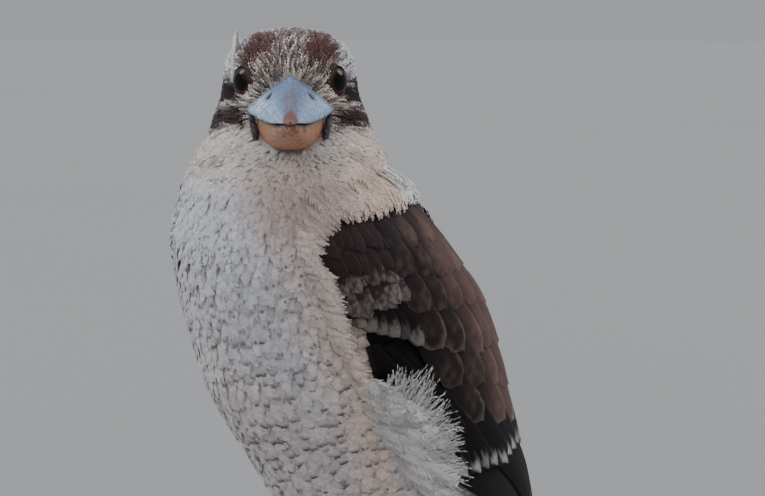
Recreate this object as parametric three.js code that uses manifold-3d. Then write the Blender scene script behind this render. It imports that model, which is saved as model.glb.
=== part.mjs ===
// A laughing kookaburra, life size, standing upright with its head turned to its left.
// Millimetres, +Z up. The bird's breast faces -Y, its left side is +X and its tail trails to +Y.
import * as THREE from 'three';
import { mergeVertices } from 'three/addons/utils/BufferGeometryUtils.js';
import Module from 'manifold-3d';

const wasm = await Module();
wasm.setup();

// Driving dimensions.
const HEAD_TURN = THREE.MathUtils.degToRad(45);
const TORSO_TOP = 174;
const NECK_TOP = 195;
const BROW_HEIGHT = 224;
const CROWN_HEIGHT = 244;
const TOUCH_GAP = 0.35;

const EYE_RADIUS = 7.6;
const EYE_ANGLE = THREE.MathUtils.degToRad(50);
const EYE_HEIGHT = 224.5;
const EYE_OPENING = 5.7;

const BILL_LENGTH = 62;
const GAPE_HEIGHT = 214;

const LEG_SPREAD = 21;
const ANKLE_BACK = 36;
const ANKLE_HEIGHT = 31;

const TAIL_LENGTH = 147;
const TAIL_FEATHER_PAIRS = 6;

const UP = new THREE.Vector3(0, 0, 1);
const ACROSS = new THREE.Vector3(1, 0, 0);

// The feathered trunk in level sections, from the vent up to the throat: height above the floor,
// how far the section's centre lies behind the neck, half the width and half the depth.
const TRUNK = [
  [38, 94, 13, 13],
  [44, 84, 25, 31],
  [52, 71, 33.5, 46.5],
  [61, 60, 39, 55.5],
  [71, 55, 42, 58.5],
  [83, 47.5, 44.5, 59],
  [108, 34, 49, 62],
  [126, 26.5, 50.5, 61],
  [143, 18, 50.8, 57.5],
  [161, 8, 48.5, 50.5],
  [180, 0, 43, 42],
  [198, -5, 36, 36],
];

// The head in level sections, in its own turned frame: height, how far the section's centre lies
// ahead of the neck's axis, half the width and half the length.
const HEAD = [
  [180, 0, 42.5, 42],
  [190, -2.5, 38.3, 38.5],
  [198, -5, 35.4, 35],
  [205, -8.5, 31, 32.5],
  [212, -10, 28.5, 32],
  [218.5, -11, 26, 32],
  [224, -11.5, 25, 30.5],
];

// The outer face of the folded wings in level sections, with the trunk's columns.
const WING_SHELL = [
  [30, 82, 32, 57],
  [54, 67.5, 42.5, 57],
  [71, 57, 46, 60],
  [87, 47.5, 48.5, 60],
  [103, 38.5, 51, 61.5],
  [118, 31, 52.5, 62],
  [142, 19.5, 53, 60],
  [162, 8, 51, 52],
  [184, 0, 43.5, 43.5],
];

// The folded wing's outline: height, and the angles from the breast's midline to the wing's front
// edge and to its edge on the back, in degrees.
const WING_OUTLINE = [
  [42, 152, 173],
  [46, 128, 175],
  [53, 104, 175],
  [64, 84, 175],
  [79, 68, 172],
  [92, 59, 168],
  [114, 55, 160],
  [134, 52, 152],
  [152, 48, 146],
  [164, 53, 142],
  [174, 66, 138],
];

const degrees = THREE.MathUtils.degToRad;
const lerp = THREE.MathUtils.lerp;
const smoothstep = THREE.MathUtils.smoothstep;

// A repeatable random draw between 0 and 1.
function makeRandom(seed) {
  let state = seed;
  return () => {
    state = (state * 1664525 + 1013904223) % 4294967296;
    return state / 4294967296;
  };
}

// The columns of a table of stations at one value of its first column, by smooth cubics.
function stationAt(stations, at) {
  const last = stations.length - 1;
  const key = THREE.MathUtils.clamp(at, stations[0][0], stations[last][0]);
  let upper = 1;
  while (upper < last && key > stations[upper][0]) {
    upper += 1;
  }
  const before = stations[Math.max(upper - 2, 0)];
  const start = stations[upper - 1];
  const end = stations[upper];
  const after = stations[Math.min(upper + 1, last)];
  const span = end[0] - start[0];
  const t = (key - start[0]) / span;
  return start.slice(1).map((value, column) => {
    const c = column + 1;
    const slopeIn = (end[c] - before[c]) / (end[0] - before[0]) * span;
    const slopeOut = (after[c] - start[c]) / (after[0] - start[0]) * span;
    return (2 * t ** 3 - 3 * t ** 2 + 1) * value + (t ** 3 - 2 * t ** 2 + t) * slopeIn
      + (3 * t ** 2 - 2 * t ** 3) * end[c] + (t ** 3 - t ** 2) * slopeOut;
  });
}

// A geometry whose equal vertices are shared and whose faces point out.
function tidyGeometry(geometry) {
  const bare = new THREE.BufferGeometry();
  bare.setAttribute('position', geometry.getAttribute('position'));
  bare.setIndex(geometry.index);
  const merged = mergeVertices(bare, 1e-4);
  if (signedVolume(merged) < 0) {
    merged.index.array.reverse();
  }
  return merged;
}

function signedVolume(geometry) {
  const position = geometry.getAttribute('position');
  const index = geometry.index.array;
  const [a, b, c] = [new THREE.Vector3(), new THREE.Vector3(), new THREE.Vector3()];
  let volume = 0;
  for (let i = 0; i < index.length; i += 3) {
    a.fromBufferAttribute(position, index[i]);
    b.fromBufferAttribute(position, index[i + 1]);
    c.fromBufferAttribute(position, index[i + 2]);
    volume += a.dot(b.cross(c)) / 6;
  }
  return volume;
}

// A closed body through rings of points, with a fan over each end. Every ring's quads are split the
// same way at equal distances from the ring's middle, so both faces of a thin plate split alike.
function loft(rings) {
  const sides = rings[0].length;
  const half = sides / 2;
  const points = rings.flat();
  const triangles = [];
  for (let r = 0; r + 1 < rings.length; r += 1) {
    for (let s = 0; s < sides; s += 1) {
      const a = r * sides + s;
      const b = r * sides + (s + 1) % sides;
      const c = a + sides;
      const d = b + sides;
      triangles.push(...(s < half ? [a, b, d, a, d, c] : [a, b, c, b, d, c]));
    }
  }
  const ends = [
    { ring: rings[0], offset: 0, flip: true },
    { ring: rings.at(-1), offset: (rings.length - 1) * sides, flip: false },
  ];
  for (const { ring, offset, flip } of ends) {
    const middle = ring.reduce((sum, p) => sum.add(p), new THREE.Vector3()).divideScalar(sides);
    points.push(middle);
    for (let s = 0; s < sides; s += 1) {
      const a = offset + s;
      const b = offset + (s + 1) % sides;
      triangles.push(...(flip ? [b, a, points.length - 1] : [a, b, points.length - 1]));
    }
  }
  const geometry = new THREE.BufferGeometry().setFromPoints(points);
  geometry.setIndex(triangles);
  return tidyGeometry(geometry);
}

function toSolid(geometry) {
  return new wasm.Manifold(new wasm.Mesh({
    numProp: 3,
    vertProperties: new Float32Array(geometry.getAttribute('position').array),
    triVerts: new Uint32Array(geometry.index.array),
  }));
}

// The largest closed surface of a solid, as a geometry.
function toGeometry(solid) {
  const pieces = solid.decompose().sort((one, other) => other.volume() - one.volume());
  const mesh = pieces[0].getMesh();
  const geometry = new THREE.BufferGeometry();
  geometry.setAttribute('position', new THREE.BufferAttribute(mesh.vertProperties, 3));
  geometry.setIndex(new THREE.BufferAttribute(mesh.triVerts, 1));
  return tidyGeometry(geometry);
}

function joined(geometries) {
  return geometries.map(toSolid).reduce((sum, solid) => sum.add(solid));
}

function cutAway(solid, geometries) {
  return geometries.map(toSolid).reduce((left, cutter) => left.subtract(cutter), solid);
}

// The same surface moved outwards along its normals, which leaves a gap when it cuts a neighbour.
function grown(geometry, distance) {
  const copy = geometry.clone();
  copy.computeVertexNormals();
  const position = copy.getAttribute('position');
  const normal = copy.getAttribute('normal');
  for (let i = 0; i < position.count; i += 1) {
    position.setXYZ(i, position.getX(i) + normal.getX(i) * distance,
      position.getY(i) + normal.getY(i) * distance, position.getZ(i) + normal.getZ(i) * distance);
  }
  return tidyGeometry(copy);
}

function mirrored(geometry) {
  return tidyGeometry(geometry.clone().scale(-1, 1, 1));
}

function boxAt(width, depth, height, matrix) {
  return tidyGeometry(new THREE.BoxGeometry(width, depth, height).applyMatrix4(matrix));
}

const belowFloor = boxAt(1200, 1200, 60, new THREE.Matrix4().makeTranslation(0, 0, -30));

// Trunk, neck and head: one smooth skin of level sections, whose upper sections turn with the head.
function sectionAt(height) {
  const [trunkBack, trunkWidth, trunkDepth] = stationAt(TRUNK, height);
  const [headAhead, headWidth, headDepth] = stationAt(HEAD, height);
  const rise = Math.max(0, (height - BROW_HEIGHT) / (CROWN_HEIGHT - BROW_HEIGHT));
  const dome = Math.max(0, 1 - rise ** 2.5) ** 0.4;
  const turned = smoothstep(height, 180, 198);
  const ahead = headAhead - 2.5 * rise;
  return {
    x: lerp(0, ahead * Math.sin(HEAD_TURN), turned),
    y: lerp(trunkBack, -ahead * Math.cos(HEAD_TURN), turned),
    width: lerp(trunkWidth, headWidth * dome, turned),
    depth: lerp(trunkDepth, headDepth * dome, turned),
    turn: HEAD_TURN * turned,
  };
}

function bodyRing(height, sides) {
  const section = sectionAt(height);
  const ring = [];
  for (let s = 0; s < sides; s += 1) {
    const angle = s / sides * 2 * Math.PI;
    const aside = section.width * Math.sin(angle);
    const ahead = section.depth * Math.cos(angle);
    ring.push(new THREE.Vector3(
      section.x + aside * Math.cos(section.turn) + ahead * Math.sin(section.turn),
      section.y + aside * Math.sin(section.turn) - ahead * Math.cos(section.turn),
      height,
    ));
  }
  return ring;
}

function steps(from, to, count) {
  return Array.from({ length: count + 1 }, (_, i) => lerp(from, to, i / count));
}

const BODY_SIDES = 36;
const trunkHeights = [38, 40.5, ...steps(44, 84, 6), ...steps(93, TORSO_TOP, 8)];
const neckHeights = steps(TORSO_TOP + TOUCH_GAP, NECK_TOP, 4);
const cheekHeights = steps(NECK_TOP + TOUCH_GAP, BROW_HEIGHT, 6);
const crownHeights = steps(16, 88, 6).map((turn) => {
  return BROW_HEIGHT + (CROWN_HEIGHT - BROW_HEIGHT) * Math.sin(degrees(turn));
});

const bodyLoft = (heights) => loft(heights.map((height) => bodyRing(height, BODY_SIDES)));
const torsoShape = bodyLoft(trunkHeights);
const neckShape = bodyLoft(neckHeights);
const headShape = bodyLoft([...cheekHeights, ...crownHeights]);
const wholeBody = bodyLoft([...trunkHeights, ...neckHeights, ...cheekHeights, ...crownHeights]);
const bodyClearance = grown(wholeBody, TOUCH_GAP);

// A point in the head's turned frame.
function headPoint(ahead, aside, height) {
  return new THREE.Vector3(
    ahead * Math.sin(HEAD_TURN) + aside * Math.cos(HEAD_TURN),
    -ahead * Math.cos(HEAD_TURN) + aside * Math.sin(HEAD_TURN),
    height,
  );
}

function headMatrix(ahead, aside, height, turn, tip) {
  const matrix = new THREE.Matrix4().makeRotationZ(HEAD_TURN + turn);
  matrix.multiply(new THREE.Matrix4().makeRotationX(tip));
  return matrix.setPosition(headPoint(ahead, aside, height));
}

// Eyes: each ball is set in its socket, with the two lids as one thick rim round the opening.
const browSection = sectionAt(EYE_HEIGHT);
function eyeCentre(side) {
  const [headAhead] = stationAt(HEAD, EYE_HEIGHT);
  const inset = EYE_RADIUS - 1.1;
  const ahead = headAhead + (browSection.depth - inset) * Math.cos(EYE_ANGLE);
  const aside = side * (browSection.width - inset) * Math.sin(EYE_ANGLE);
  return headPoint(ahead, aside, EYE_HEIGHT);
}

function eyeDirection(side) {
  const out = headPoint(Math.cos(EYE_ANGLE), side * Math.sin(EYE_ANGLE), 0);
  return out.setZ(0.02).normalize();
}

function eyeball(side, radius) {
  const ball = new THREE.IcosahedronGeometry(radius, 2);
  const centre = eyeCentre(side);
  return tidyGeometry(ball.translate(centre.x, centre.y, centre.z));
}

function lidRim(side) {
  const rim = new THREE.TorusGeometry(EYE_OPENING + 0.5, 1.25, 5, 18);
  rim.scale(1.12, 0.98, 1);
  const facing = new THREE.Quaternion().setFromUnitVectors(UP, eyeDirection(side));
  const middle = eyeCentre(side).addScaledVector(eyeDirection(side), 4.9);
  rim.applyQuaternion(facing);
  return tidyGeometry(rim.translate(middle.x, middle.y, middle.z));
}

// The bill is a broad wedge. Each half is flat where the two meet, which is the line of the mouth.
const BILL_ROOT = 8;
const BILL_FACE = 19;
const BILL_TIP = BILL_FACE + BILL_LENGTH;
const BILL_PROFILE = [
  [BILL_ROOT, 0, 227.5, 16.5, 198.5],
  [20, 0, 226, 15.2, 200],
  [32, 1.6, 224.6, 11.8, 201.6],
  [46, 2.4, 222.6, 8.4, 204],
  [60, 2.3, 219.8, 5.8, 206.9],
  [72, 1.6, 216.9, 3.7, 209.4],
  [79, 1.4, 214.8, 1.9, 210.7],
  [BILL_TIP, 1.8, 213.6, 0.8, 211.3],
];

function billHalf(upper) {
  const reach = upper ? BILL_TIP : BILL_TIP - 2.5;
  const rings = steps(0, 1, 14).map((t) => {
    const ahead = lerp(BILL_ROOT, reach, 1 - (1 - t) ** 1.35);
    const [sag, top, halfWidth, bottom] = stationAt(BILL_PROFILE, ahead);
    const mouth = GAPE_HEIGHT - sag + (upper ? TOUCH_GAP / 2 : -TOUCH_GAP / 2);
    const height = upper ? top - mouth : bottom - mouth;
    const width = upper ? halfWidth : halfWidth * 0.84;
    const arch = steps(0, 1, 10).map((s) => {
      const angle = s * Math.PI;
      const lift = 0.22 * Math.sign(Math.sin(angle)) + 0.78 * Math.sin(angle) ** (upper ? 1.25 : 0.8);
      const rise = s === 0 || s === 1 ? 0 : lift * height;
      return headPoint(ahead, width * Math.cos(angle), mouth + rise);
    });
    const flat = headPoint(ahead, 0, mouth);
    return [...arch, flat];
  });
  return loft(rings);
}

function nostril(side) {
  return boxAt(1.1, 5, 1.4, headMatrix(24.5, side * 8.3, 221, side * -0.3, -0.35));
}

// The crease of the mouth runs a little way back into the cheek behind each corner of the bill.
function gapeCrease(side) {
  return boxAt(7, 14, 0.7, headMatrix(13, side * 20, GAPE_HEIGHT, side * 0.45, 0.05));
}

const sockets = [1, -1].map((side) => eyeball(side, EYE_RADIUS + TOUCH_GAP));
const headSolid = joined([headShape, lidRim(1), lidRim(-1)]);
const headGeometry = toGeometry(cutAway(headSolid, [...sockets, gapeCrease(1), gapeCrease(-1)]));
const faceClearance = grown(headShape, TOUCH_GAP);
const billUpperCuts = [faceClearance, nostril(1), nostril(-1)];
const billUpper = toGeometry(cutAway(toSolid(billHalf(true)), billUpperCuts));
const billLower = toGeometry(cutAway(toSolid(billHalf(false)), [faceClearance]));

// A place on the wings' outer face: height, and the angle from the breast's midline.
function shellPoint(height, angle, lift) {
  const [back, width, depth] = stationAt(WING_SHELL, height);
  return new THREE.Vector3(
    (width + lift) * Math.sin(angle),
    back - (depth + lift) * Math.cos(angle),
    height,
  );
}

function shellFrame(height, angle) {
  const point = shellPoint(height, angle, 0);
  const along = shellPoint(height - 1, angle, 0).sub(point).normalize();
  const around = shellPoint(height, angle + 0.02, 0).sub(point).normalize();
  return { point, normal: new THREE.Vector3().crossVectors(around, along).negate().normalize() };
}

// The wing's bed: the folded arm and the feathers' bases, a curved plate on the trunk's side. Its
// lower and front edges stop short of the feathers' ends.
const BED_MARGIN = degrees(5);
function wingBed() {
  const across = 7;
  const rings = steps(47, TORSO_TOP, 8).map((height) => {
    const [front, rear] = stationAt(WING_OUTLINE, height).map(degrees);
    const thick = lerp(2.6, 7, smoothstep(height, 44, 94));
    const outer = steps(front + BED_MARGIN, rear, across).map((angle, i) => {
      const edge = Math.min(i, across - i) / across;
      return shellPoint(height, angle, -0.9 * (1 - smoothstep(edge, 0, 0.2)));
    });
    const inner = steps(rear, front + BED_MARGIN, across).map((angle) => shellPoint(height, angle, -thick));
    return [...outer, ...inner];
  });
  return loft(rings);
}

// A feather's outline: share of its length, and share of its half width there.
const VANE_OUTLINE = [
  [0, 0.6],
  [0.55, 1],
  [0.87, 0.84],
  [1, 0.28],
];
const VANE_THICKNESS = 0.7;

// One feather as a thin plate. frameAt gives its midline's point, and the unit vectors across it and
// out of it; a tilt sinks its far edge, so that the next feather's near edge lies over it.
function vane(frameAt, halfWidth, tilt) {
  const rings = VANE_OUTLINE.map(([t, share]) => {
    const { point, across, normal } = frameAt(t);
    const side = across.clone().multiplyScalar(Math.cos(tilt)).addScaledVector(normal, -Math.sin(tilt));
    const out = normal.clone().multiplyScalar(Math.cos(tilt)).addScaledVector(across, Math.sin(tilt));
    const width = halfWidth * share;
    const corner = (aside, lift) => point.clone().addScaledVector(side, aside).addScaledVector(out, lift);
    const half = VANE_THICKNESS / 2;
    return [corner(-width, half), corner(width, half), corner(width, -half), corner(-width, -half)];
  });
  return loft(rings);
}

// A wing feather's midline runs over the shell from one height and angle to another, and its lift
// above the bed grows from the sunk root to the free tip.
function wingVane(placeAt, rootLift, tipLift, halfWidth, tilt) {
  const pointAt = (t) => {
    const { height, angle } = placeAt(t);
    return shellPoint(height, angle, lerp(rootLift, tipLift, Math.max(t, 0) ** 0.7));
  };
  const frameAt = (t) => {
    const { height, angle } = placeAt(t);
    const along = pointAt(t + 0.02).sub(pointAt(t - 0.02)).normalize();
    const { normal } = shellFrame(height, angle);
    const across = new THREE.Vector3().crossVectors(along, normal).normalize();
    return { point: pointAt(t), across, normal: new THREE.Vector3().crossVectors(across, along) };
  };
  return vane(frameAt, halfWidth, tilt);
}

// The wing's tiers from the tips up to the shoulder. Each row of roots is hidden under the next
// row's tips. Heights and angles are those of the first feather, at the front, and of the last.
const SECONDARIES = {
  count: 7, root: [124, 122], tip: [66, 54], from: [62, 140], to: [92, 170], width: 7.2, lift: 1.5,
};
const GREATER_COVERTS = {
  count: 8, root: [146, 144], tip: [119, 112], from: [54, 138], to: [57, 152], width: 6.2, lift: 1.9,
};
const MEDIAN_COVERTS = {
  count: 7, root: [160, 160], tip: [137, 132], from: [53, 134], to: [54, 142], width: 6.2, lift: 2.1,
};
const LESSER_COVERTS = {
  count: 6, root: [172, 172], tip: [154, 149], from: [62, 132], to: [52, 136], width: 6.4, lift: 2.2,
};
const SCAPULARS = {
  count: 3, root: [170, 168], tip: [124, 100], from: [127, 140], to: [138, 162], width: 8, lift: 2.9,
};
const PRIMARIES = { count: 3, root: 98, tip: [42.5, 48], offset: [2, 15], width: 4.6, lift: 0.5 };
const ROOT_LIFT = -1.6;
const TILT = degrees(7);

function tierVanes(tier, random) {
  return steps(0, 1, tier.count - 1).map((share) => {
    const shift = (random() - 0.5) * 2.5;
    const start = { height: lerp(...tier.root, share), angle: degrees(lerp(...tier.from, share)) };
    const end = { height: lerp(...tier.tip, share) + shift, angle: degrees(lerp(...tier.to, share)) };
    const placeAt = (t) => ({
      height: lerp(start.height, end.height, t),
      angle: lerp(start.angle, end.angle, t),
    });
    return wingVane(placeAt, ROOT_LIFT, tier.lift, tier.width, TILT);
  });
}

// The primaries follow the wing's lower front edge down to its tip.
function primaryVanes() {
  return steps(0, 1, PRIMARIES.count - 1).map((share) => {
    const placeAt = (t) => {
      const height = lerp(PRIMARIES.root, lerp(...PRIMARIES.tip, share), Math.min(t, 1.02));
      const [front] = stationAt(WING_OUTLINE, height);
      return { height, angle: degrees(front + lerp(...PRIMARIES.offset, share)) };
    };
    return wingVane(placeAt, ROOT_LIFT, PRIMARIES.lift, PRIMARIES.width, TILT);
  });
}

function wingFeathers() {
  const random = makeRandom(11);
  const tiers = [SECONDARIES, GREATER_COVERTS, MEDIAN_COVERTS, LESSER_COVERTS, SCAPULARS];
  return [...primaryVanes(), ...tiers.flatMap((tier) => tierVanes(tier, random))];
}

// The tail's midline: down and back from the rump, bending to lie on the floor at its tip.
const TAIL_ROOT_BACK = 92;
const TAIL_ROOT_HEIGHT = 56;
const TAIL_SLOPE = degrees(24.9);
function tailMiddle(s) {
  const flare = Math.max(0, s - 0.72 * TAIL_LENGTH);
  return new THREE.Vector3(
    0,
    TAIL_ROOT_BACK + s * Math.cos(TAIL_SLOPE) + flare * 0.06,
    TAIL_ROOT_HEIGHT - s * Math.sin(TAIL_SLOPE) + flare * flare * 0.0045,
  );
}

function tailFrame(s) {
  const point = tailMiddle(s);
  const along = tailMiddle(s + 1).sub(tailMiddle(s - 1)).normalize();
  return { point, normal: new THREE.Vector3().crossVectors(ACROSS, along).normalize() };
}

function tailPoint(s, aside, lift) {
  const frame = tailFrame(s);
  return frame.point.addScaledVector(ACROSS, aside).addScaledVector(frame.normal, lift);
}

function tailPlate(from, to, widthRoot, widthTip, thickRoot, thickTip) {
  const rings = steps(0, 1, 8).map((t) => {
    const s = lerp(from, to, t);
    const halfWidth = lerp(widthRoot, widthTip, t);
    const thick = lerp(thickRoot, thickTip, t);
    return steps(0, 1, 12).slice(0, 12).map((turn) => {
      const angle = turn * 2 * Math.PI;
      return tailPoint(s, halfWidth * Math.cos(angle), thick * Math.sin(angle));
    });
  });
  return loft(rings);
}

// The tail's feathers lie in pairs, the middle pair on top and each pair below it a little shorter
// and further out. Short coverts hide their roots above and below.
const TAIL_LAYER = 0.95;
function tailVane(side, pair) {
  const length = TAIL_LENGTH - 3.6 * pair;
  const lift = 1.2 - TAIL_LAYER * (pair + (side > 0 ? 0 : 0.5));
  const frameAt = (t) => {
    const s = lerp(14, length, t);
    const aside = side * lerp(1.2 + 1.3 * pair, 4 + 2.9 * pair, t);
    const { normal } = tailFrame(s);
    return { point: tailPoint(s, aside, lift), across: ACROSS.clone().multiplyScalar(side), normal };
  };
  return vane(frameAt, 8.6, degrees(2));
}

const TAIL_COVERTS = 5;
function tailCoverts(over) {
  return steps(-1, 1, TAIL_COVERTS - 1).map((share, i) => {
    const length = (over ? 50 : 60) - 12 * Math.abs(share) + (i % 2) * 3;
    const frameAt = (t) => {
      const s = lerp(4, length, t);
      const lift = (over ? 1 : -1) * lerp(4.2, over ? 3.6 : 7.4, t) - 0.5 * (i % 2);
      const { normal } = tailFrame(s);
      return { point: tailPoint(s, share * lerp(9, 11, t), lift), across: ACROSS, normal };
    };
    return vane(frameAt, 5.4, 0);
  });
}

const tailRoot = tailPlate(-14, 62, 14, 11, 6.6, 2.6);
const tailPairs = Array.from({ length: TAIL_FEATHER_PAIRS }, (_, pair) => {
  return [tailVane(1, pair), tailVane(-1, pair)];
});
const tailSolid = joined([tailRoot, ...tailPairs.flat(), ...tailCoverts(true), ...tailCoverts(false)]);
const tailGeometry = toGeometry(cutAway(tailSolid, [bodyClearance, belowFloor]));
const tailClearance = grown(tailPlate(-14, TAIL_LENGTH, 17, 26, 8, 5), TOUCH_GAP);

// Legs: a feathered thigh, the bare shank with its four toes, and the claws.
function tube(path, radii, sides) {
  const rings = path.map((point, i) => {
    const before = path[Math.max(i - 1, 0)];
    const after = path[Math.min(i + 1, path.length - 1)];
    const along = after.clone().sub(before).normalize();
    const helper = Math.abs(along.z) > 0.8 ? ACROSS : UP;
    const sideways = new THREE.Vector3().crossVectors(along, helper).normalize();
    const upright = new THREE.Vector3().crossVectors(sideways, along);
    return Array.from({ length: sides }, (_, s) => {
      const angle = s / sides * 2 * Math.PI;
      return point.clone().addScaledVector(sideways, radii[i] * Math.cos(angle))
        .addScaledVector(upright, radii[i] * Math.sin(angle));
    });
  });
  return loft(rings);
}

const hip = new THREE.Vector3(LEG_SPREAD + 1, ANKLE_BACK + 14, 76);
const ankle = new THREE.Vector3(LEG_SPREAD, ANKLE_BACK, ANKLE_HEIGHT);
const foot = new THREE.Vector3(LEG_SPREAD + 1, ANKLE_BACK - 5, 4.6);

function thighShape() {
  const path = steps(0, 1, 6).map((t) => hip.clone().lerp(ankle, t));
  const radii = steps(0, 1, 6).map((t) => lerp(21, 5.5, t ** 1.3));
  return tube(path, radii, 14);
}

// Each toe: its angle from straight ahead, its length and its thickness at the root.
const TOES = [
  { angle: -24, length: 17, thick: 3.1 },
  { angle: 4, length: 25, thick: 3.4 },
  { angle: 17, length: 22, thick: 3.2 },
  { angle: 172, length: 14, thick: 3.1 },
];

function toePath(toe, from, to, count) {
  const heading = degrees(toe.angle);
  return steps(from, to, count).map((reach) => new THREE.Vector3(
    foot.x + Math.sin(heading) * reach,
    foot.y - Math.cos(heading) * reach,
    lerp(3.6, 2.3, Math.min(1, reach / toe.length)),
  ));
}

function toeShape(toe) {
  const joints = 6;
  const path = toePath(toe, 0, toe.length, joints);
  const radii = path.map((_, i) => {
    const pad = i % 2 === 0 ? 0.3 : -0.3;
    return lerp(toe.thick, 2.5, i / joints) + (i === joints ? -0.7 : pad);
  });
  return tube(path, radii, 7);
}

const CLAW_LENGTH = 8;
function clawShape(toe) {
  const heading = degrees(toe.angle);
  const ahead = new THREE.Vector3(Math.sin(heading), -Math.cos(heading), 0);
  const start = toePath(toe, toe.length + TOUCH_GAP, toe.length + TOUCH_GAP, 1)[0];
  const path = steps(0, 1, 4).map((t) => {
    const arch = 1.3 * Math.sin(t * 2.4) - 1.9 * t * t;
    return start.clone().addScaledVector(ahead, CLAW_LENGTH * t).addScaledVector(UP, arch);
  });
  const radii = steps(0, 1, 4).map((t) => lerp(1.5, 0.3, t));
  const cuts = [grown(toeShape(toe), TOUCH_GAP), belowFloor];
  return toGeometry(cutAway(toSolid(tube(path, radii, 6)), cuts));
}

const shankPath = steps(0, 1, 5).map((t) => {
  return ankle.clone().setZ(ANKLE_HEIGHT - TOUCH_GAP).lerp(foot, t);
});
const shankShape = tube(shankPath, [3.9, 3.2, 2.8, 2.8, 3.2, 4], 8);
function legBox(size, bottom) {
  const place = new THREE.Matrix4().makeTranslation(LEG_SPREAD, ANKLE_BACK, bottom + size / 2);
  return boxAt(size, size, size, place);
}

const thighCut = legBox(80, ANKLE_HEIGHT - 80);
const leftThigh = toGeometry(cutAway(toSolid(thighShape()), [bodyClearance, thighCut]));
const shankTop = legBox(40, ANKLE_HEIGHT - TOUCH_GAP);
const leftFoot = toGeometry(cutAway(joined([shankShape, ...TOES.map(toeShape)]), [belowFloor, shankTop]));

const thighClearance = grown(thighShape(), TOUCH_GAP);
const wingSolid = joined([wingBed(), ...wingFeathers()]);
const leftWing = toGeometry(cutAway(wingSolid, [bodyClearance, tailClearance, thighClearance]));

// Colours and finishes, as bare solids show them.
const finish = (color, roughness, metalness = 0) => ({ color, roughness, metalness });
const FINISHES = {
  breast: finish(0xd8cdbc, 0.9),
  head: finish(0xb9a993, 0.9),
  wing: finish(0x3a2a22, 0.8),
  tail: finish(0x7a4a2c, 0.8),
  eye: finish(0x24120c, 0.08),
  billUpper: finish(0x5d6470, 0.35),
  billLower: finish(0xc08a54, 0.4),
  scales: finish(0x8c8f80, 0.6),
  claw: finish(0x2b2724, 0.4),
};

const bird = new THREE.Group();
bird.name = 'laughing_kookaburra';
function addPart(name, geometry, look) {
  const material = new THREE.MeshStandardMaterial(FINISHES[look]);
  const mesh = new THREE.Mesh(geometry, material);
  mesh.name = name;
  bird.add(mesh);
}

addPart('torso', torsoShape, 'breast');
addPart('neck', neckShape, 'breast');
addPart('head', headGeometry, 'head');
addPart('bill_upper', billUpper, 'billUpper');
addPart('bill_lower', billLower, 'billLower');
addPart('eye_left', eyeball(1, EYE_RADIUS), 'eye');
addPart('eye_right', eyeball(-1, EYE_RADIUS), 'eye');
addPart('wing_left', leftWing, 'wing');
addPart('wing_right', mirrored(leftWing), 'wing');
addPart('tail', tailGeometry, 'tail');
addPart('thigh_left', leftThigh, 'breast');
addPart('thigh_right', mirrored(leftThigh), 'breast');
addPart('foot_left', leftFoot, 'scales');
addPart('foot_right', mirrored(leftFoot), 'scales');
TOES.forEach((toe, i) => {
  addPart(`claw_left_${i + 1}`, clawShape(toe), 'claw');
  addPart(`claw_right_${i + 1}`, mirrored(clawShape(toe)), 'claw');
});

// The origin is on the floor, under the middle of the bird's bounding box.
const extent = new THREE.Box3().setFromObject(bird);
const middle = extent.getCenter(new THREE.Vector3());
bird.position.set(-middle.x, -middle.y, -extent.min.z);

export default bird;
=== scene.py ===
import math

import bpy
import numpy as np
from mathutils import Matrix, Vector
from mathutils.kdtree import KDTree


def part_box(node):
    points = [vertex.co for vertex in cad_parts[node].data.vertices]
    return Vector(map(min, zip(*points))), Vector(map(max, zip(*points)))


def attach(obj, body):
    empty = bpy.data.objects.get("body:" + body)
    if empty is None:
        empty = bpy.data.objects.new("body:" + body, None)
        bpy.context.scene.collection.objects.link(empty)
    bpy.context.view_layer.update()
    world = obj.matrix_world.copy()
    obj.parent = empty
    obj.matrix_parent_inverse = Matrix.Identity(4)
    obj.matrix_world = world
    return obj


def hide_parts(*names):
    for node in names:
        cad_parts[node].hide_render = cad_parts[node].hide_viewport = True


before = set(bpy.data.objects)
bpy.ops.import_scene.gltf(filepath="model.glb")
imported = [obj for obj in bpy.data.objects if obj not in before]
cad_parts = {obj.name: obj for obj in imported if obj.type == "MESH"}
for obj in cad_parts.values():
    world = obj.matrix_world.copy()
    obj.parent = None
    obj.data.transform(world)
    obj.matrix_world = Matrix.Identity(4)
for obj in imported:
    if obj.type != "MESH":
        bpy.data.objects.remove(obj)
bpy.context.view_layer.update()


# The bird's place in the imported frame. Its own lengths are millimetres from the middle of the neck,
# with the breast toward -Y, the floor at 0 and the head turned to the bird's left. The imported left
# eye tells how far the frame's middle lies from there.

# level, how far the oval's middle lies ahead, half width and half depth of the head
HEAD = (
    (180, 0, 42.5, 42), (190, -2.5, 38.3, 38.5), (198, -5, 35.4, 35), (205, -8.5, 31, 32.5),
    (212, -10, 28.5, 32), (218.5, -11, 26, 32), (224, -11.5, 25, 30.5),
)
HEAD_TURN = math.radians(45)
EYE_HEIGHT = 224.5
EYE_ANGLE = math.radians(50)
EYE_INSET = 6.5


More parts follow.
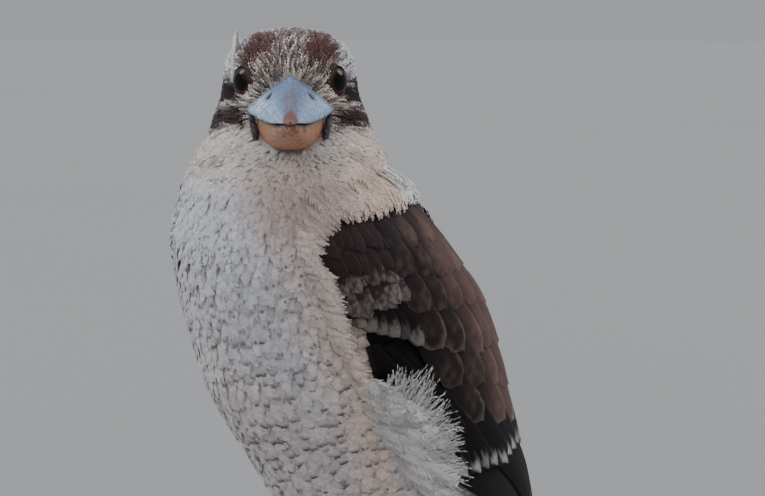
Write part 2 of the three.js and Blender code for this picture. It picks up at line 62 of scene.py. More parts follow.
def station(table, height):
    """The sizes in a table at any height, on a smooth curve through its rows."""
    rows = np.array(table, float)
    levels = rows[:, 0]
    key = np.clip(np.asarray(height, float), levels[0], levels[-1])
    upper = np.clip(np.searchsorted(levels, key), 1, len(levels) - 1)
    start, end = rows[upper - 1], rows[upper]
    before = rows[np.maximum(upper - 2, 0)]
    after = rows[np.minimum(upper + 1, len(levels) - 1)]
    span = end[..., :1] - start[..., :1]
    slope_in = (end - before) / (end[..., :1] - before[..., :1]) * span
    slope_out = (after - start) / (after[..., :1] - start[..., :1]) * span
    part = (key[..., None] - start[..., :1]) / span
    value = (2 * part**3 - 3 * part**2 + 1) * start + (part**3 - 2 * part**2 + part) * slope_in
    value += (3 * part**2 - 2 * part**3) * end + (part**3 - part**2) * slope_out
    return value[..., 1:]


def head_point(ahead, aside, height):
    """A place told from the head's own axis, in the bird's millimetres."""
    ahead, aside, height = np.broadcast_arrays(
        np.asarray(ahead, float), np.asarray(aside, float), np.asarray(height, float)
    )
    return np.stack(
        [
            ahead * math.sin(HEAD_TURN) + aside * math.cos(HEAD_TURN),
            aside * math.sin(HEAD_TURN) - ahead * math.cos(HEAD_TURN),
            height,
        ],
        -1,
    )


def eye_middle(side):
    """The middle of one eyeball; side is 1 for the bird's left."""
    ahead, width, depth = station(HEAD, EYE_HEIGHT)
    return head_point(
        ahead + (depth - EYE_INSET) * math.cos(EYE_ANGLE),
        side * (width - EYE_INSET) * math.sin(EYE_ANGLE),
        EYE_HEIGHT,
    )


eye_low, eye_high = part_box("eye_left")
FRAME_SHIFT = np.array((eye_low + eye_high) / 2) * 1000 - eye_middle(1)
FRAME_SHIFT[2] = 0


def place(points):
    """The bird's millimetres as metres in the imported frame."""
    return (np.asarray(points, float) + FRAME_SHIFT) / 1000


# The camera stands 0.7 m from the head at crown height, looks a little down, and the bird is left
# of the middle of the picture, as in the photograph of 765 by 496 pixels.
CROWN_HEIGHT = 244
PHOTO_WIDTH = 765
CAMERA_DISTANCE = 700
FOCAL_PIXELS = 1890
ASIDE_PIXELS = 92
DOWN_PIXELS = 220
SENSOR_WIDTH = 36

camera_data = bpy.data.cameras.new("photo_camera")
camera_data.sensor_width = SENSOR_WIDTH
camera_data.lens = FOCAL_PIXELS * SENSOR_WIDTH / PHOTO_WIDTH
camera_data.clip_start = 0.02
camera = bpy.data.objects.new("photo_camera", camera_data)
bpy.context.scene.collection.objects.link(camera)
camera.location = place(head_point(CAMERA_DISTANCE, 0, CROWN_HEIGHT))
camera_heading = HEAD_TURN - math.atan(ASIDE_PIXELS / FOCAL_PIXELS)
camera_pitch = math.pi / 2 - math.atan(DOWN_PIXELS / FOCAL_PIXELS)
camera.rotation_euler = (camera_pitch, 0, camera_heading)
bpy.context.scene.camera = camera


# The studio: a plain pale floor and an even pale room, with a soft light from each side and a broad
# one high in front, as the open sky gave in the photograph.
LIGHT_TARGET = (0, 20, 150)
FLOOR_REACH = 30
FLOOR_DROP = 0.0004


def soft_light(name, ahead, aside, height, spread, strength, colour):
    """A sun of the given spread in degrees that shines on the bird from one place."""
    data = bpy.data.lights.new(name, "SUN")
    data.angle = math.radians(spread)
    data.energy = strength
    data.color = colour
    light = bpy.data.objects.new(name, data)
    bpy.context.scene.collection.objects.link(light)
    light.location = place(head_point(ahead, aside, height))
    target = Vector(place(LIGHT_TARGET))
    light.rotation_euler = (target - light.location).to_track_quat("-Z", "Y").to_euler()


soft_light("sky_left", -120, -1000, 1100, 30, 1.4, (0.92, 0.97, 1.0))
soft_light("sky_front", 900, -350, 1500, 100, 1.15, (1.0, 0.99, 0.97))
soft_light("sky_right", -250, 1000, 900, 30, 1.15, (1.0, 0.97, 0.93))

room = bpy.data.worlds.new("studio_room")
room.use_nodes = True
room_air = room.node_tree.nodes["Background"]
room_air.inputs["Color"].default_value = (0.80, 0.83, 0.87, 1)
room_air.inputs["Strength"].default_value = 0.46
bpy.context.scene.world = room

floor_mesh = bpy.data.meshes.new("studio_floor")
floor_corners = [
    (aside * FLOOR_REACH, back * FLOOR_REACH, -FLOOR_DROP)
    for aside, back in ((-1, -1), (1, -1), (1, 1), (-1, 1))
]
floor_mesh.from_pydata(floor_corners, [], [(0, 1, 2, 3)])
floor = bpy.data.objects.new("studio_floor", floor_mesh)
bpy.context.scene.collection.objects.link(floor)
floor_paint = bpy.data.materials.new("pale_floor_paint")
floor_paint.use_nodes = True
floor_nodes = floor_paint.node_tree.nodes
floor_links = floor_paint.node_tree.links
floor_surface = floor_nodes["Principled BSDF"]
floor_grain = floor_nodes.new("ShaderNodeTexNoise")
floor_grain.inputs["Scale"].default_value = 40
floor_ramp = floor_nodes.new("ShaderNodeValToRGB")
floor_ramp.color_ramp.elements[0].color = (0.325, 0.33, 0.335, 1)
floor_ramp.color_ramp.elements[1].color = (0.350, 0.355, 0.36, 1)
floor_links.new(floor_grain.outputs["Fac"], floor_ramp.inputs["Fac"])
floor_links.new(floor_ramp.outputs["Color"], floor_surface.inputs["Base Color"])
floor_surface.inputs["Roughness"].default_value = 0.8
floor_surface.inputs["Specular IOR Level"].default_value = 0.1
floor.data.materials.append(floor_paint)


# The bird's skin: one unbroken surface over trunk, neck, head and thighs. It lies inside the coat
# by the depth of the feathers and carries their colours, darkened as painted shade under the coat
# and less at the throat, so that none of them parts to bare pink.

# level, how far the oval's middle lies back, half width and half depth of the trunk
TRUNK = (
    (38, 94, 13, 13), (44, 84, 25, 31), (52, 71, 33.5, 46.5), (61, 60, 39, 55.5),
    (71, 55, 42, 58.5), (83, 47.5, 44.5, 59), (108, 34, 49, 62), (126, 26.5, 50.5, 61),
    (143, 18, 50.8, 57.5), (161, 8, 48.5, 50.5), (180, 0, 43, 42), (198, -5, 36, 36),
)
BROW_HEIGHT = 224
HEAD_JOINS = (180, 198)
SKIN_FINENESS = 1.5
HEAD_COAT = 2.2
FACE_COAT = 1.3
BODY_COAT = 4.6
THIGH_COAT = 3.0
SKIN_STEPS = 96
HIP = np.array((22, 50, 76))
ANKLE = np.array((21, 36, 31))
HIP_RADIUS = 21
ANKLE_RADIUS = 5.5
BILL_FOOT = head_point(19, 0, 214)
EYE_HOLLOW_DEPTH = 1.3
EYE_HOLLOW_REACH = 8


def smooth(value, start, end):
    """0 before start and 1 past end, with an even rise between them."""
    part = np.clip((value - start) / (end - start), 0, 1)
    return part * part * (3 - 2 * part)


def mix(start, end, part):
    """A value the given part of the way from start to end."""
    return start + (end - start) * part


def unit(vectors):
    """The same ways with a length of one."""
    return vectors / np.maximum(np.linalg.norm(vectors, axis=-1, keepdims=True), 1e-9)


def body_point(height, angle):
    """A point on the coat's outside; angle 0 is straight ahead and a quarter turn is the left."""
    height, angle = np.broadcast_arrays(np.asarray(height, float), np.asarray(angle, float))
    trunk = station(TRUNK, height)
    head = station(HEAD, height)
    turned = smooth(height, *HEAD_JOINS)
    rise = np.clip((height - BROW_HEIGHT) / (CROWN_HEIGHT - BROW_HEIGHT), 0, 1)
    dome = np.clip(1 - rise**2.5, 0, 1) ** 0.4
    ahead = head[..., 0] - 2.5 * rise
    middle_x = turned * ahead * math.sin(HEAD_TURN)
    middle_y = mix(trunk[..., 0], -ahead * math.cos(HEAD_TURN), turned)
    aside = mix(trunk[..., 1], head[..., 1] * dome, turned) * np.sin(angle)
    forward = mix(trunk[..., 2], head[..., 2] * dome, turned) * np.cos(angle)
    turn = HEAD_TURN * turned
    return np.stack(
        [
            middle_x + aside * np.cos(turn) + forward * np.sin(turn),
            middle_y + aside * np.sin(turn) - forward * np.cos(turn),
            height,
        ],
        -1,
    )


def round_steps(count):
    """Even angles once round a ring, with no angle twice."""
    return np.linspace(0, 2 * math.pi, count + 1)[:-1]


def mesh_piece(name, points, faces, tints=None, lay=None, chart=None, shading=None):
    """A piece from arrays: points in millimetres, corners of triangles, and what each point carries."""
    faces = np.asarray(faces, np.int32)
    mesh = bpy.data.meshes.new(name)
    mesh.vertices.add(len(points))
    mesh.vertices.foreach_set("co", place(points).astype(np.float32).ravel())
    mesh.loops.add(faces.size)
    mesh.loops.foreach_set("vertex_index", faces.ravel())
    mesh.polygons.add(len(faces))
    mesh.polygons.foreach_set("loop_start", np.arange(0, faces.size, 3, dtype=np.int32))
    mesh.update(calc_edges=True)
    if tints is not None:
        paint = mesh.color_attributes.new("tint", "FLOAT_COLOR", "POINT")
        rgba = np.ones((len(points), 4), np.float32)
        rgba[:, :3] = tints
        paint.data.foreach_set("color", rgba.ravel())
    if lay is not None:
        run = mesh.attributes.new("lay", "FLOAT_VECTOR", "POINT")
        run.data.foreach_set("vector", np.asarray(lay, np.float32).ravel())
    if chart is not None:
        layer = mesh.uv_layers.new(name="OFBake")
        layer.uv.foreach_set("vector", np.asarray(chart, np.float32)[faces.ravel()].ravel())
    mesh.validate()
    mesh.shade_smooth()
    if shading is not None:
        mesh.normals_split_custom_set_from_vertices(shading)
    piece = bpy.data.objects.new(name, mesh)
    bpy.context.scene.collection.objects.link(piece)
    return piece


def loft_faces(rings, around, closed_ends=True):
    """Triangles between rings of points, with a point at each end that closes them."""
    ring, step = np.meshgrid(np.arange(rings - 1), np.arange(around), indexing="ij")
    low = ring * around + step
    low_next = ring * around + (step + 1) % around
    high, high_next = low + around, low_next + around
    faces = [
        np.stack([low, low_next, high_next], -1).reshape(-1, 3),
        np.stack([low, high_next, high], -1).reshape(-1, 3),
    ]
    if closed_ends:
        step = np.arange(around)
        turn = (step + 1) % around
        first, last = rings * around, rings * around + 1
        top = (rings - 1) * around
        faces.append(np.stack([turn, step, np.full(around, first)], -1))
        faces.append(np.stack([top + step, top + turn, np.full(around, last)], -1))
    return np.concatenate(faces)


def closed_loft(rings):
    """Points and triangles of a closed skin through rings given as rows of points."""
    rings = np.asarray(rings, float)
    count, around = rings.shape[:2]
    points = np.concatenate([rings.reshape(-1, 3), [rings[0].mean(0)], [rings[-1].mean(0)]])
    return points, loft_faces(count, around)


def coat_depth(points):
    """How far the feathers stand out from the skin at each point."""
    depth = mix(BODY_COAT, HEAD_COAT, smooth(points[:, 2], 174, 195))
    depth = mix(depth, THIGH_COAT, 1 - smooth(points[:, 2], 42, 62))
    face = 1 - smooth(np.linalg.norm(points - BILL_FOOT, axis=1), 14, 26)
    return mix(depth, FACE_COAT, face * smooth(points[:, 2], 190, 200))


def skin_source():
    """The closed skins of trunk, neck and head, and of the two thighs."""
    levels = np.concatenate(
        [
            np.linspace(TRUNK[0][0], BROW_HEIGHT, 90),
            BROW_HEIGHT + (CROWN_HEIGHT - BROW_HEIGHT) * np.sin(np.linspace(0.07, 1.5, 22)),
        ]
    )
    angles = round_steps(SKIN_STEPS)
    parts = [closed_loft(body_point(levels[:, None], angles[None, :]))]
    for side in (1, -1):
        rings = []
        for part in np.linspace(0, 1, 20):
            middle = mix(HIP, ANKLE, part) * (side, 1, 1)
            radius = mix(HIP_RADIUS, ANKLE_RADIUS, part**1.3)
            ring = np.stack([np.cos(angles), np.sin(angles), 0 * angles], -1) * radius
            rings.append(middle + ring)
        parts.append(closed_loft(rings[::-1]))
    return parts


def gather(parts):
    """The points and triangles of several closed skins as those of one mesh."""
    points, faces, start = [], [], 0
    for part_points, part_faces in parts:
        points.append(part_points)
        faces.append(part_faces + start)
        start += len(part_points)
    return np.concatenate(points), np.concatenate(faces)


def one_surface(name, parts, fineness):
    """Several closed skins grown into one even surface, with no seam where they meet."""
    source = mesh_piece(name + "_source", *gather(parts))
    grown = source.modifiers.new("grown", "REMESH")
    grown.mode = "VOXEL"
    grown.voxel_size = fineness / 1000
    eased = source.modifiers.new("eased", "SMOOTH")
    eased.factor = 0.5
    eased.iterations = 4
    shown = source.evaluated_get(bpy.context.evaluated_depsgraph_get())
    mesh = bpy.data.meshes.new_from_object(shown)
    bpy.data.objects.remove(source)
    mesh.calc_loop_triangles()
    corners = np.empty(len(mesh.loop_triangles) * 3, np.int32)
    mesh.loop_triangles.foreach_get("vertices", corners)
    flat = np.empty(len(mesh.vertices) * 3, np.float32)
    mesh.vertices.foreach_get("co", flat)
    bpy.data.meshes.remove(mesh)
    return flat.reshape(-1, 3).astype(float) * 1000 - FRAME_SHIFT, corners.reshape(-1, 3)


def outward(points, faces):
    """The way out of a surface at each of its points."""
    first, second, third = points[faces[:, 0]], points[faces[:, 1]], points[faces[:, 2]]
    turn = np.cross(second - first, third - first)
    sums = np.zeros_like(points)
    for corner in range(3):
        np.add.at(sums, faces[:, corner], turn)
    return unit(sums)


def ground(points, faces):
    """A surface that feathers grow from: its points, triangles, ways out and search tree."""
    tree = KDTree(len(points))
    for index, point in enumerate(points):
        tree.insert(point, index)
    tree.balance()
    return {"points": points, "faces": faces, "out": outward(points, faces), "tree": tree}


skin_points, skin_faces = one_surface("skin", skin_source(), SKIN_FINENESS)
skin_out = outward(skin_points, skin_faces)
skin_points = skin_points - skin_out * coat_depth(skin_points)[:, None]
for side in (1, -1):
    from_eye = np.linalg.norm(skin_points - eye_middle(side), axis=1)
    hollow = EYE_HOLLOW_DEPTH * np.exp(-((from_eye / EYE_HOLLOW_REACH) ** 2))
    skin_points = skin_points - skin_out * hollow[:, None]
skin_ground = ground(skin_points, skin_faces)


# The plumage's colours: off-white below with dusky feather ends, a white head with a dark mask and
# two brown crown bands, a brown back, and a buff rump. Skin and feathers are painted alike.
def srgb(red, green, blue):
    """A colour as it looks on a screen, from 0 to 255, as light."""
    value = np.array((red, green, blue), float) / 255
    return np.where(value <= 0.04045, value / 12.92, ((value + 0.055) / 1.055) ** 2.4)


PALE_DOWN = srgb(208, 208, 216)
WARM_DOWN = srgb(230, 204, 188)
CHEEK_CREAM = srgb(204, 193, 187)
CHIN_GREY_AND_SHADE = srgb(190, 185, 180)
FACE_CREAM = srgb(222, 208, 198)
HEAD_WHITE = srgb(222, 224, 230)
DUSKY_END = srgb(92, 80, 78)
BAND_BROWN = srgb(86, 57, 58)
MASK_BROWN = srgb(42, 34, 38)
EAR_BROWN = srgb(72, 54, 54)
BACK_BROWN = srgb(74, 57, 52)
NAPE_CREAM = srgb(205, 198, 190)
RUMP_BUFF = srgb(150, 128, 108)
FLANK_WHITE = srgb(218, 212, 212)
NECK_WHITE = srgb(246, 246, 250)
THROAT_SHADE = srgb(178, 160, 154)
CREASE_SHADE = srgb(122, 106, 92)
CROWN_CREAM = srgb(220, 204, 200)
BACK_STREAK = srgb(104, 82, 72)
NAPE_STREAK = srgb(150, 132, 118)
RUMP_STREAK = srgb(70, 56, 50)
CHEEK_STREAK = srgb(150, 134, 128)
CHIN_STREAK = srgb(160, 156, 152)
FLANK_STREAK = srgb(160, 152, 150)
NECK_STREAK = srgb(200, 200, 206)
WHITE_STREAK = srgb(140, 128, 132)
MASK_STREAK = srgb(30, 24, 28)
BROW_STREAK = srgb(44, 34, 34)
CROWN_STREAK = srgb(30, 23, 24)
BAND_STREAK = srgb(130, 104, 98)


def head_place(points):
    """How far ahead of the head's axis, aside of it and how high each point is."""
    ahead = points[..., 0] * math.sin(HEAD_TURN) - points[..., 1] * math.cos(HEAD_TURN)
    aside = points[..., 0] * math.cos(HEAD_TURN) + points[..., 1] * math.sin(HEAD_TURN)
    return ahead, aside, points[..., 2]


def waver(points, size, seed):
    """A soft, even, repeatable unevenness between -1 and 1 over the body."""
    draw = np.random.RandomState(seed)
    total = np.zeros(len(points))
    for turn in range(5):
        way = unit(draw.normal(size=3)) / size * (0.7 + 0.25 * turn)
        total += np.sin(points @ way * 2 * math.pi + draw.uniform(0, 6.28))
    return total / 2.6


def band(value, start, end, soft):
    """1 between start and end and 0 outside them, with soft edges."""
    return smooth(value, start - soft, start + soft) * (1 - smooth(value, end - soft, end + soft))


def markings(points):
    """At each point: the coat's colour, the colour of its streaks, and the share of streaks."""
    count = len(points)
    ahead, aside, height = head_place(points)
    wide = np.abs(aside)
    rough = waver(points, 9, 3)
    fine = waver(points, 4, 5)
    bearing = np.degrees(np.arctan2(wide, ahead + 11))
    trunk_middle = station(TRUNK, height)[:, 0]
    body_bearing = np.degrees(np.arctan2(np.abs(points[:, 0]), trunk_middle - points[:, 1]))

    # warm cream on the bird's left breast and low on its belly, with dusky streaks low down
    warm = smooth(aside - 0.285 * (165 - height), -18, 14) * (1 - smooth(height, 198, 208))
    warm = np.maximum(warm, 0.34 * (1 - smooth(height + 0.6 * aside, 105, 165)))
    base = mix(PALE_DOWN, WARM_DOWN, (0.85 * warm)[:, None])
    streak = np.broadcast_to(DUSKY_END, (count, 3)).copy()
    share = 0.22 + 0.30 * (1 - smooth(height, 95, 165)) + 0.1 * rough

    def lay_over(mask, colour, streak_colour=None, streak_share=None):
        """Paints over what is there, as far as the mask says."""
        nonlocal base, streak, share
        mask = np.clip(mask, 0, 1)
        base = mix(base, colour, mask[:, None])
        if streak_colour is not None:
            streak = mix(streak, streak_colour, mask[:, None])
        if streak_share is not None:
            share = mix(share, streak_share, mask)

    # brown back under a pale nape, and a buff rump
    back = smooth(body_bearing + 6 * rough, 112, 134)
    lay_over(back * (1 - smooth(height, 178, 184)), BACK_BROWN, BACK_STREAK, 0.35)
    lay_over(back * smooth(height + 2 * rough, 178, 184), NAPE_CREAM, NAPE_STREAK, 0.3)
    lay_over(back * (1 - smooth(height, 72, 92)), RUMP_BUFF, RUMP_STREAK, 0.45)

    # cream cheeks, a grey chin that is partly painted shade under the bill, and painted shade below the
    # bill and along the skin folds beside it
    on_head = smooth(height, 188, 200)
    lay_over(on_head, mix(CHEEK_CREAM, WARM_DOWN, (0.4 * warm)[:, None]), CHEEK_STREAK, 0.2)
    chin = on_head * (1 - smooth(wide, 13, 18)) * smooth(ahead, 0, 8) * (1 - smooth(height, 204, 209))
    lay_over(chin, CHIN_GREY_AND_SHADE, CHIN_STREAK, 0.15)
    under_throat = band(height, 176, 197, 5) * (1 - smooth(wide, 4, 20)) * smooth(ahead, 0, 8)
    lay_over(0.75 * under_throat, THROAT_SHADE, CHEEK_STREAK, 0.1)
    crease = np.exp(-(((height - 210.6 + 0.58 * wide) / 1.5) ** 2)) * band(wide, 16, 26, 3)
    lay_over(0.42 * crease * smooth(ahead, 0, 6), CREASE_SHADE)

    # white at the flanks and in a patch on the left side of the neck
    flank = band(body_bearing, 50, 100, 5) * band(height, 50, 114, 7)
    lay_over(flank, FLANK_WHITE, FLANK_STREAK, 0.1)
    neck_patch = band(height, 175, 198, 3) * smooth(aside, 27, 33) * (1 - smooth(ahead, 22, 30))
    lay_over(neck_patch, NECK_WHITE, NECK_STREAK, 0.1)

    # a white head, with a brown line over the ear and a dark mask behind and under the eye
    ear_height = height + 0.8 * fine + 0.03 * (bearing - 50)
    ear = band(ear_height, 208.8, 214.6, 1.1) * band(bearing, 27, 135, 4)
    lay_over(ear * on_head, EAR_BROWN, MASK_BROWN, 0.5)
    crown_side = smooth(height + 1.5 * rough, 217, 222)
    lay_over(crown_side, HEAD_WHITE, WHITE_STREAK, 0.3)
    low_edge = mix(217.0, 213.6, smooth(bearing, 48, 80))
    mask = band(height + 0.8 * fine, low_edge, 224.5, 1.0) * band(bearing, 57, 150, 5)
    under_eye = band(height + 0.8 * fine, low_edge, mix(219.8, 222.2, smooth(bearing, 40, 50)), 0.8)
    mask = np.maximum(mask, under_eye * band(bearing, 37, 150, 4))
    lay_over(mask, MASK_BROWN, MASK_STREAK, 0.5)

    # a cream brow and crown, finely streaked, between two brown bands that fade at the front
    brow = band(height, 214.5, 236, 2) * (1 - smooth(wide, 15, 19)) * smooth(ahead, 4, 9)
    lay_over(brow, FACE_CREAM, BROW_STREAK, 0.58)
    top = smooth(height, 228, 232)
    middle_top = top * (1 - smooth(wide, 3.5, 7))
    lay_over(middle_top, CROWN_CREAM, CROWN_STREAK, 0.68)
    bands = smooth(height + 1.6 * rough, 228.0, 231.0) * band(wide + 1.2 * fine, 4.6, 15.0, 1.4)
    bands = bands * (1 - 0.7 * smooth(height + fine, 238.5, 241) * smooth(ahead, -16, -8))
    lay_over(bands * (1 - smooth(-ahead, 34, 40)), BAND_BROWN, BAND_STREAK, 0.3)
    return np.clip(base * (1 + 0.05 * fine[:, None]), 0, 1), streak, np.clip(share, 0, 1)


def barb_group():
    """The fine slanting lines of barbs along a feather, as a colour change and a height."""
    group = bpy.data.node_groups.new("barb_lines", "ShaderNodeTree")
    inputs = (("Colour", "Color"), ("Lay", "Vector"), ("Lines per mm", "Float"), ("Depth", "Float"))
    for title, kind in inputs:
        group.interface.new_socket(name=title, in_out="INPUT", socket_type="NodeSocket" + kind)
    group.interface.new_socket(name="Colour", in_out="OUTPUT", socket_type="NodeSocketColor")
    group.interface.new_socket(name="Height", in_out="OUTPUT", socket_type="NodeSocketFloat")
    nodes, links = group.nodes, group.links
    given = nodes.new("NodeGroupInput")
    result = nodes.new("NodeGroupOutput")

    def sum_node(operation, first, second):
        """The outcome of one sum of two values or outcomes."""
        node = nodes.new("ShaderNodeMath")
        node.operation = operation
        for slot, value in enumerate((first, second)):
            if isinstance(value, (int, float)):
                node.inputs[slot].default_value = value
            else:
                links.new(value, node.inputs[slot])
        return node.outputs[0]

    parts = nodes.new("ShaderNodeSeparateXYZ")
    links.new(given.outputs["Lay"], parts.inputs[0])
    out_along_barb = sum_node("MULTIPLY", sum_node("ABSOLUTE", parts.outputs["X"], 0), 0.8)
    slant = sum_node("SUBTRACT", parts.outputs["Y"], out_along_barb)
    noise = nodes.new("ShaderNodeTexNoise")
    noise.inputs["Scale"].default_value = 0.9
    noise.inputs["Detail"].default_value = 2
    links.new(given.outputs["Lay"], noise.inputs["Vector"])
    swing = sum_node("MULTIPLY", noise.outputs["Fac"], 0.8)
    turn = sum_node("MULTIPLY", sum_node("ADD", slant, swing), given.outputs["Lines per mm"])
    wave = sum_node("SINE", sum_node("MULTIPLY", turn, 2 * math.pi), 0)
    height = sum_node("ADD", sum_node("MULTIPLY", wave, 0.35), noise.outputs["Fac"])
    links.new(height, result.inputs["Height"])
    shade = sum_node("MULTIPLY", sum_node("SUBTRACT", height, 0.5), given.outputs["Depth"])
    tone = nodes.new("ShaderNodeHueSaturation")
    links.new(sum_node("ADD", shade, 1), tone.inputs["Value"])
    links.new(given.outputs["Colour"], tone.inputs["Color"])
    links.new(tone.outputs["Color"], result.inputs["Colour"])
    return group


BARB_LINES = barb_group()


def painted_finish(name):
    """A new material, with the nodes that bring each point's painted colour and its lay."""
    finish = bpy.data.materials.new(name)
    finish.use_nodes = True
    nodes = finish.node_tree.nodes
    tint = nodes.new("ShaderNodeAttribute")
    tint.attribute_name = "tint"
    lay = nodes.new("ShaderNodeAttribute")
    lay.attribute_name = "lay"
    return finish, nodes, finish.node_tree.links, tint, lay


def plumage_finish(name, lines, depth, roughness, bump, sheen=0.08):
    """A feather's matt surface: its painted colour broken by the fine lines of its barbs."""
    finish, nodes, links, tint, lay = painted_finish(name)
    surface = nodes["Principled BSDF"]
    barbs = nodes.new("ShaderNodeGroup")
    barbs.node_tree = BARB_LINES
    barbs.inputs["Lines per mm"].default_value = lines
    barbs.inputs["Depth"].default_value = depth
    links.new(tint.outputs["Color"], barbs.inputs["Colour"])
    links.new(lay.outputs["Vector"], barbs.inputs["Lay"])
    links.new(barbs.outputs["Colour"], surface.inputs["Base Color"])
    raised = nodes.new("ShaderNodeBump")
    raised.inputs["Strength"].default_value = bump
    raised.inputs["Distance"].default_value = 0.0002
    links.new(barbs.outputs["Height"], raised.inputs["Height"])
    links.new(raised.outputs["Normal"], surface.inputs["Normal"])
    surface.inputs["Roughness"].default_value = roughness
    surface.inputs["Specular IOR Level"].default_value = 0.15
    surface.inputs["Sheen Weight"].default_value = sheen
    surface.inputs["Sheen Roughness"].default_value = 0.5
    return finish


DOWN_FINISH = plumage_finish(
    "down_and_body_feathers", lines=1.6, depth=0.35, roughness=0.85, bump=0.3
)

skin_colour, skin_streak, skin_share = markings(skin_points)
# painted shade: the skin's colours are darkened where it lies deep under the feathers, less at the throat
skin_painted_shade = mix(0.78, 0.95, band(skin_points[:, 2], 172, 206, 5))
skin_tint = mix(skin_colour, skin_streak, (0.35 * skin_share + 0.1)[:, None]) * skin_painted_shade[:, None]
skin = mesh_piece("plumage_skin", skin_points, skin_faces, skin_tint, skin_points)
skin.data.materials.append(DOWN_FINISH)
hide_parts("torso", "neck", "head", "thigh_left", "thigh_right")
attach(skin, "root")


# The head's feathers: short soft vanes, each a fan of loose barbs on a shaft. They are rooted in the
# skin, run back from the bill, end at the coat's outside, and are finest on the face.
HEAD_SPACING = 0.74
HEAD_FEATHER_FOOT = 192.5
LOW_FACE_TOP = 207
BARE_RING = 5.9
ROOT_DEPTH = 0.7
BARB_POINTS = 5
ROW_SPACING = 6.0
UNMARKED = 0.04
GAZE_ANGLE = math.radians(42)
EYE_SHIFT = 1.0


def touch(surface, points):
    """The nearest places on a surface, and the way out of it there."""
    found = np.array([surface["tree"].find(point)[1] for point in points])
    out = surface["out"][found]
    gap = ((points - surface["points"][found]) * out).sum(1, keepdims=True)
    return points - gap * out, out


def scatter(surface, spacing, wanted, seed):
    """Places spread evenly over a part of a surface, none nearer another than the spacing."""
    draw = np.random.RandomState(seed)
    points, faces = surface["points"], surface["faces"]
    faces = faces[wanted(points[faces].mean(1))]
    apex, left, right = (points[faces[:, corner]] for corner in range(3))
    area = np.linalg.norm(np.cross(left - apex, right - apex), axis=1) / 2
    tries = int(area.sum() / spacing**2 * 5)
    picked = draw.choice(len(faces), tries, p=area / area.sum())
    first, second = draw.uniform(size=(2, tries, 1))
    over = first + second > 1
    first, second = np.where(over, 1 - first, first), np.where(over, 1 - second, second)
    spots = apex[picked] + first * (left - apex)[picked] + second * (right - apex)[picked]
    cells = np.floor(spots / spacing).astype(int)
    near = [(x, y, z) for x in (-1, 0, 1) for y in (-1, 0, 1) for z in (-1, 0, 1)]
    taken, kept, reach = {}, [], spacing * spacing
    for index, (spot, cell) in enumerate(zip(spots.tolist(), cells.tolist())):
        others = (
            other
            for x, y, z in near
            for other in taken.get((cell[0] + x, cell[1] + y, cell[2] + z), ())
        )
        if all(
            sum((here - there) ** 2 for here, there in zip(spot, other)) >= reach for other in others
        ):
            taken.setdefault(tuple(cell), []).append(spot)
            kept.append(index)
    return touch(surface, spots[kept])


def lie_of_coat(points, out):
    """The way the feathers run at each place: away from the bill on the head, then down and back."""
    from_bill = unit(points - BILL_FOOT)
    down = np.broadcast_to(np.array((0, 0.35, -1.0)), points.shape)
    part = smooth(points[:, 2], 176, 200)[:, None]
    run = mix(down, from_bill, part)
    run = run - (run * out).sum(1, keepdims=True) * out
    return unit(run)


def swing_about(vectors, axes, angles):
    """Vectors turned about their own axes."""
    cosine, sine = np.cos(angles)[:, None], np.sin(angles)[:, None]
    return vectors * cosine + np.cross(axes, vectors) * sine


def round_vane(part):
    """Half the width of a body feather along it: narrow root, full at six tenths, round tip."""
    end = np.clip((part - 0.55) / 0.47, 0, 1)
    return smooth(part, -0.2, 0.5) * np.sqrt(np.clip(1 - end * end, 0, 1))


def slim_vane(part):
    """Half the width of a face feather along it, which narrows evenly to its tip."""
    return smooth(part, -0.4, 0.3) * np.clip(1 - np.clip(part, 0, 1) ** 2.4, 0, 1) ** 0.8


def barb_fan(pairs, slimness, outline, first=0.1, thick=0.62):
    """One feather's barbs, in shares of its length and half width: each is a strip to a point."""
    along, across, faces = [], [], []
    for side in (1, -1):
        for barb in range(pairs):
            low = mix(first, 0.97, barb / pairs)
            high = mix(first, 0.97, (barb + 1) / pairs)
            end = mix(first + 0.2, 1.0, ((barb + 0.5) / pairs) ** 0.8)
            out = float(outline(end)) + 0.04
            way_x, way_y = out * slimness, end - (low + high) / 2
            size = math.hypot(way_x, way_y)
            half = thick * (1 - first) / pairs
            push_x, push_y = half * way_y / size / slimness, half * way_x / size
            middle_x, middle_y = 0.55 * out, mix((low + high) / 2, end, 0.55)
            start = len(along)
            along += [low, middle_y - push_y, middle_y + push_y, high, end]
            across += [0, side * (middle_x + push_x), side * (middle_x - push_x), 0, side * out]
            foot, outer, inner, head, tip = range(start, start + BARB_POINTS)
            strip = [(foot, outer, inner), (foot, inner, head), (outer, tip, inner)]
            faces += strip if side > 0 else [corner[::-1] for corner in strip]
    return np.array(along), np.array(across), np.array(faces)


def settle(surface, roots, run, length, stand):
    """Half way and end points of feathers that lie on a surface, and the ways out of it there."""
    half_way, half_out = touch(surface, roots + run * (length * 0.5)[:, None])
    ends, end_out = touch(surface, roots + run * length[:, None])
    return half_way + half_out * (stand * 0.76)[:, None], ends + end_out * stand[:, None], end_out


def root_chart(roots):
    """Each root's place on the skin laid flat: its bearing and its way down from the crown."""
    middle = station(TRUNK, roots[:, 2])[:, 0] * (1 - smooth(roots[:, 2], 180, 198))
    bearing = np.arctan2(roots[:, 0], middle - roots[:, 1])
    fall = np.arctan2(np.hypot(roots[:, 0], roots[:, 1] - middle), roots[:, 2] - 150)
    flat = np.stack([bearing, fall], -1)
    low, high = flat.min(0), flat.max(0)
    return 0.01 + 0.98 * (flat - low) / (high - low)


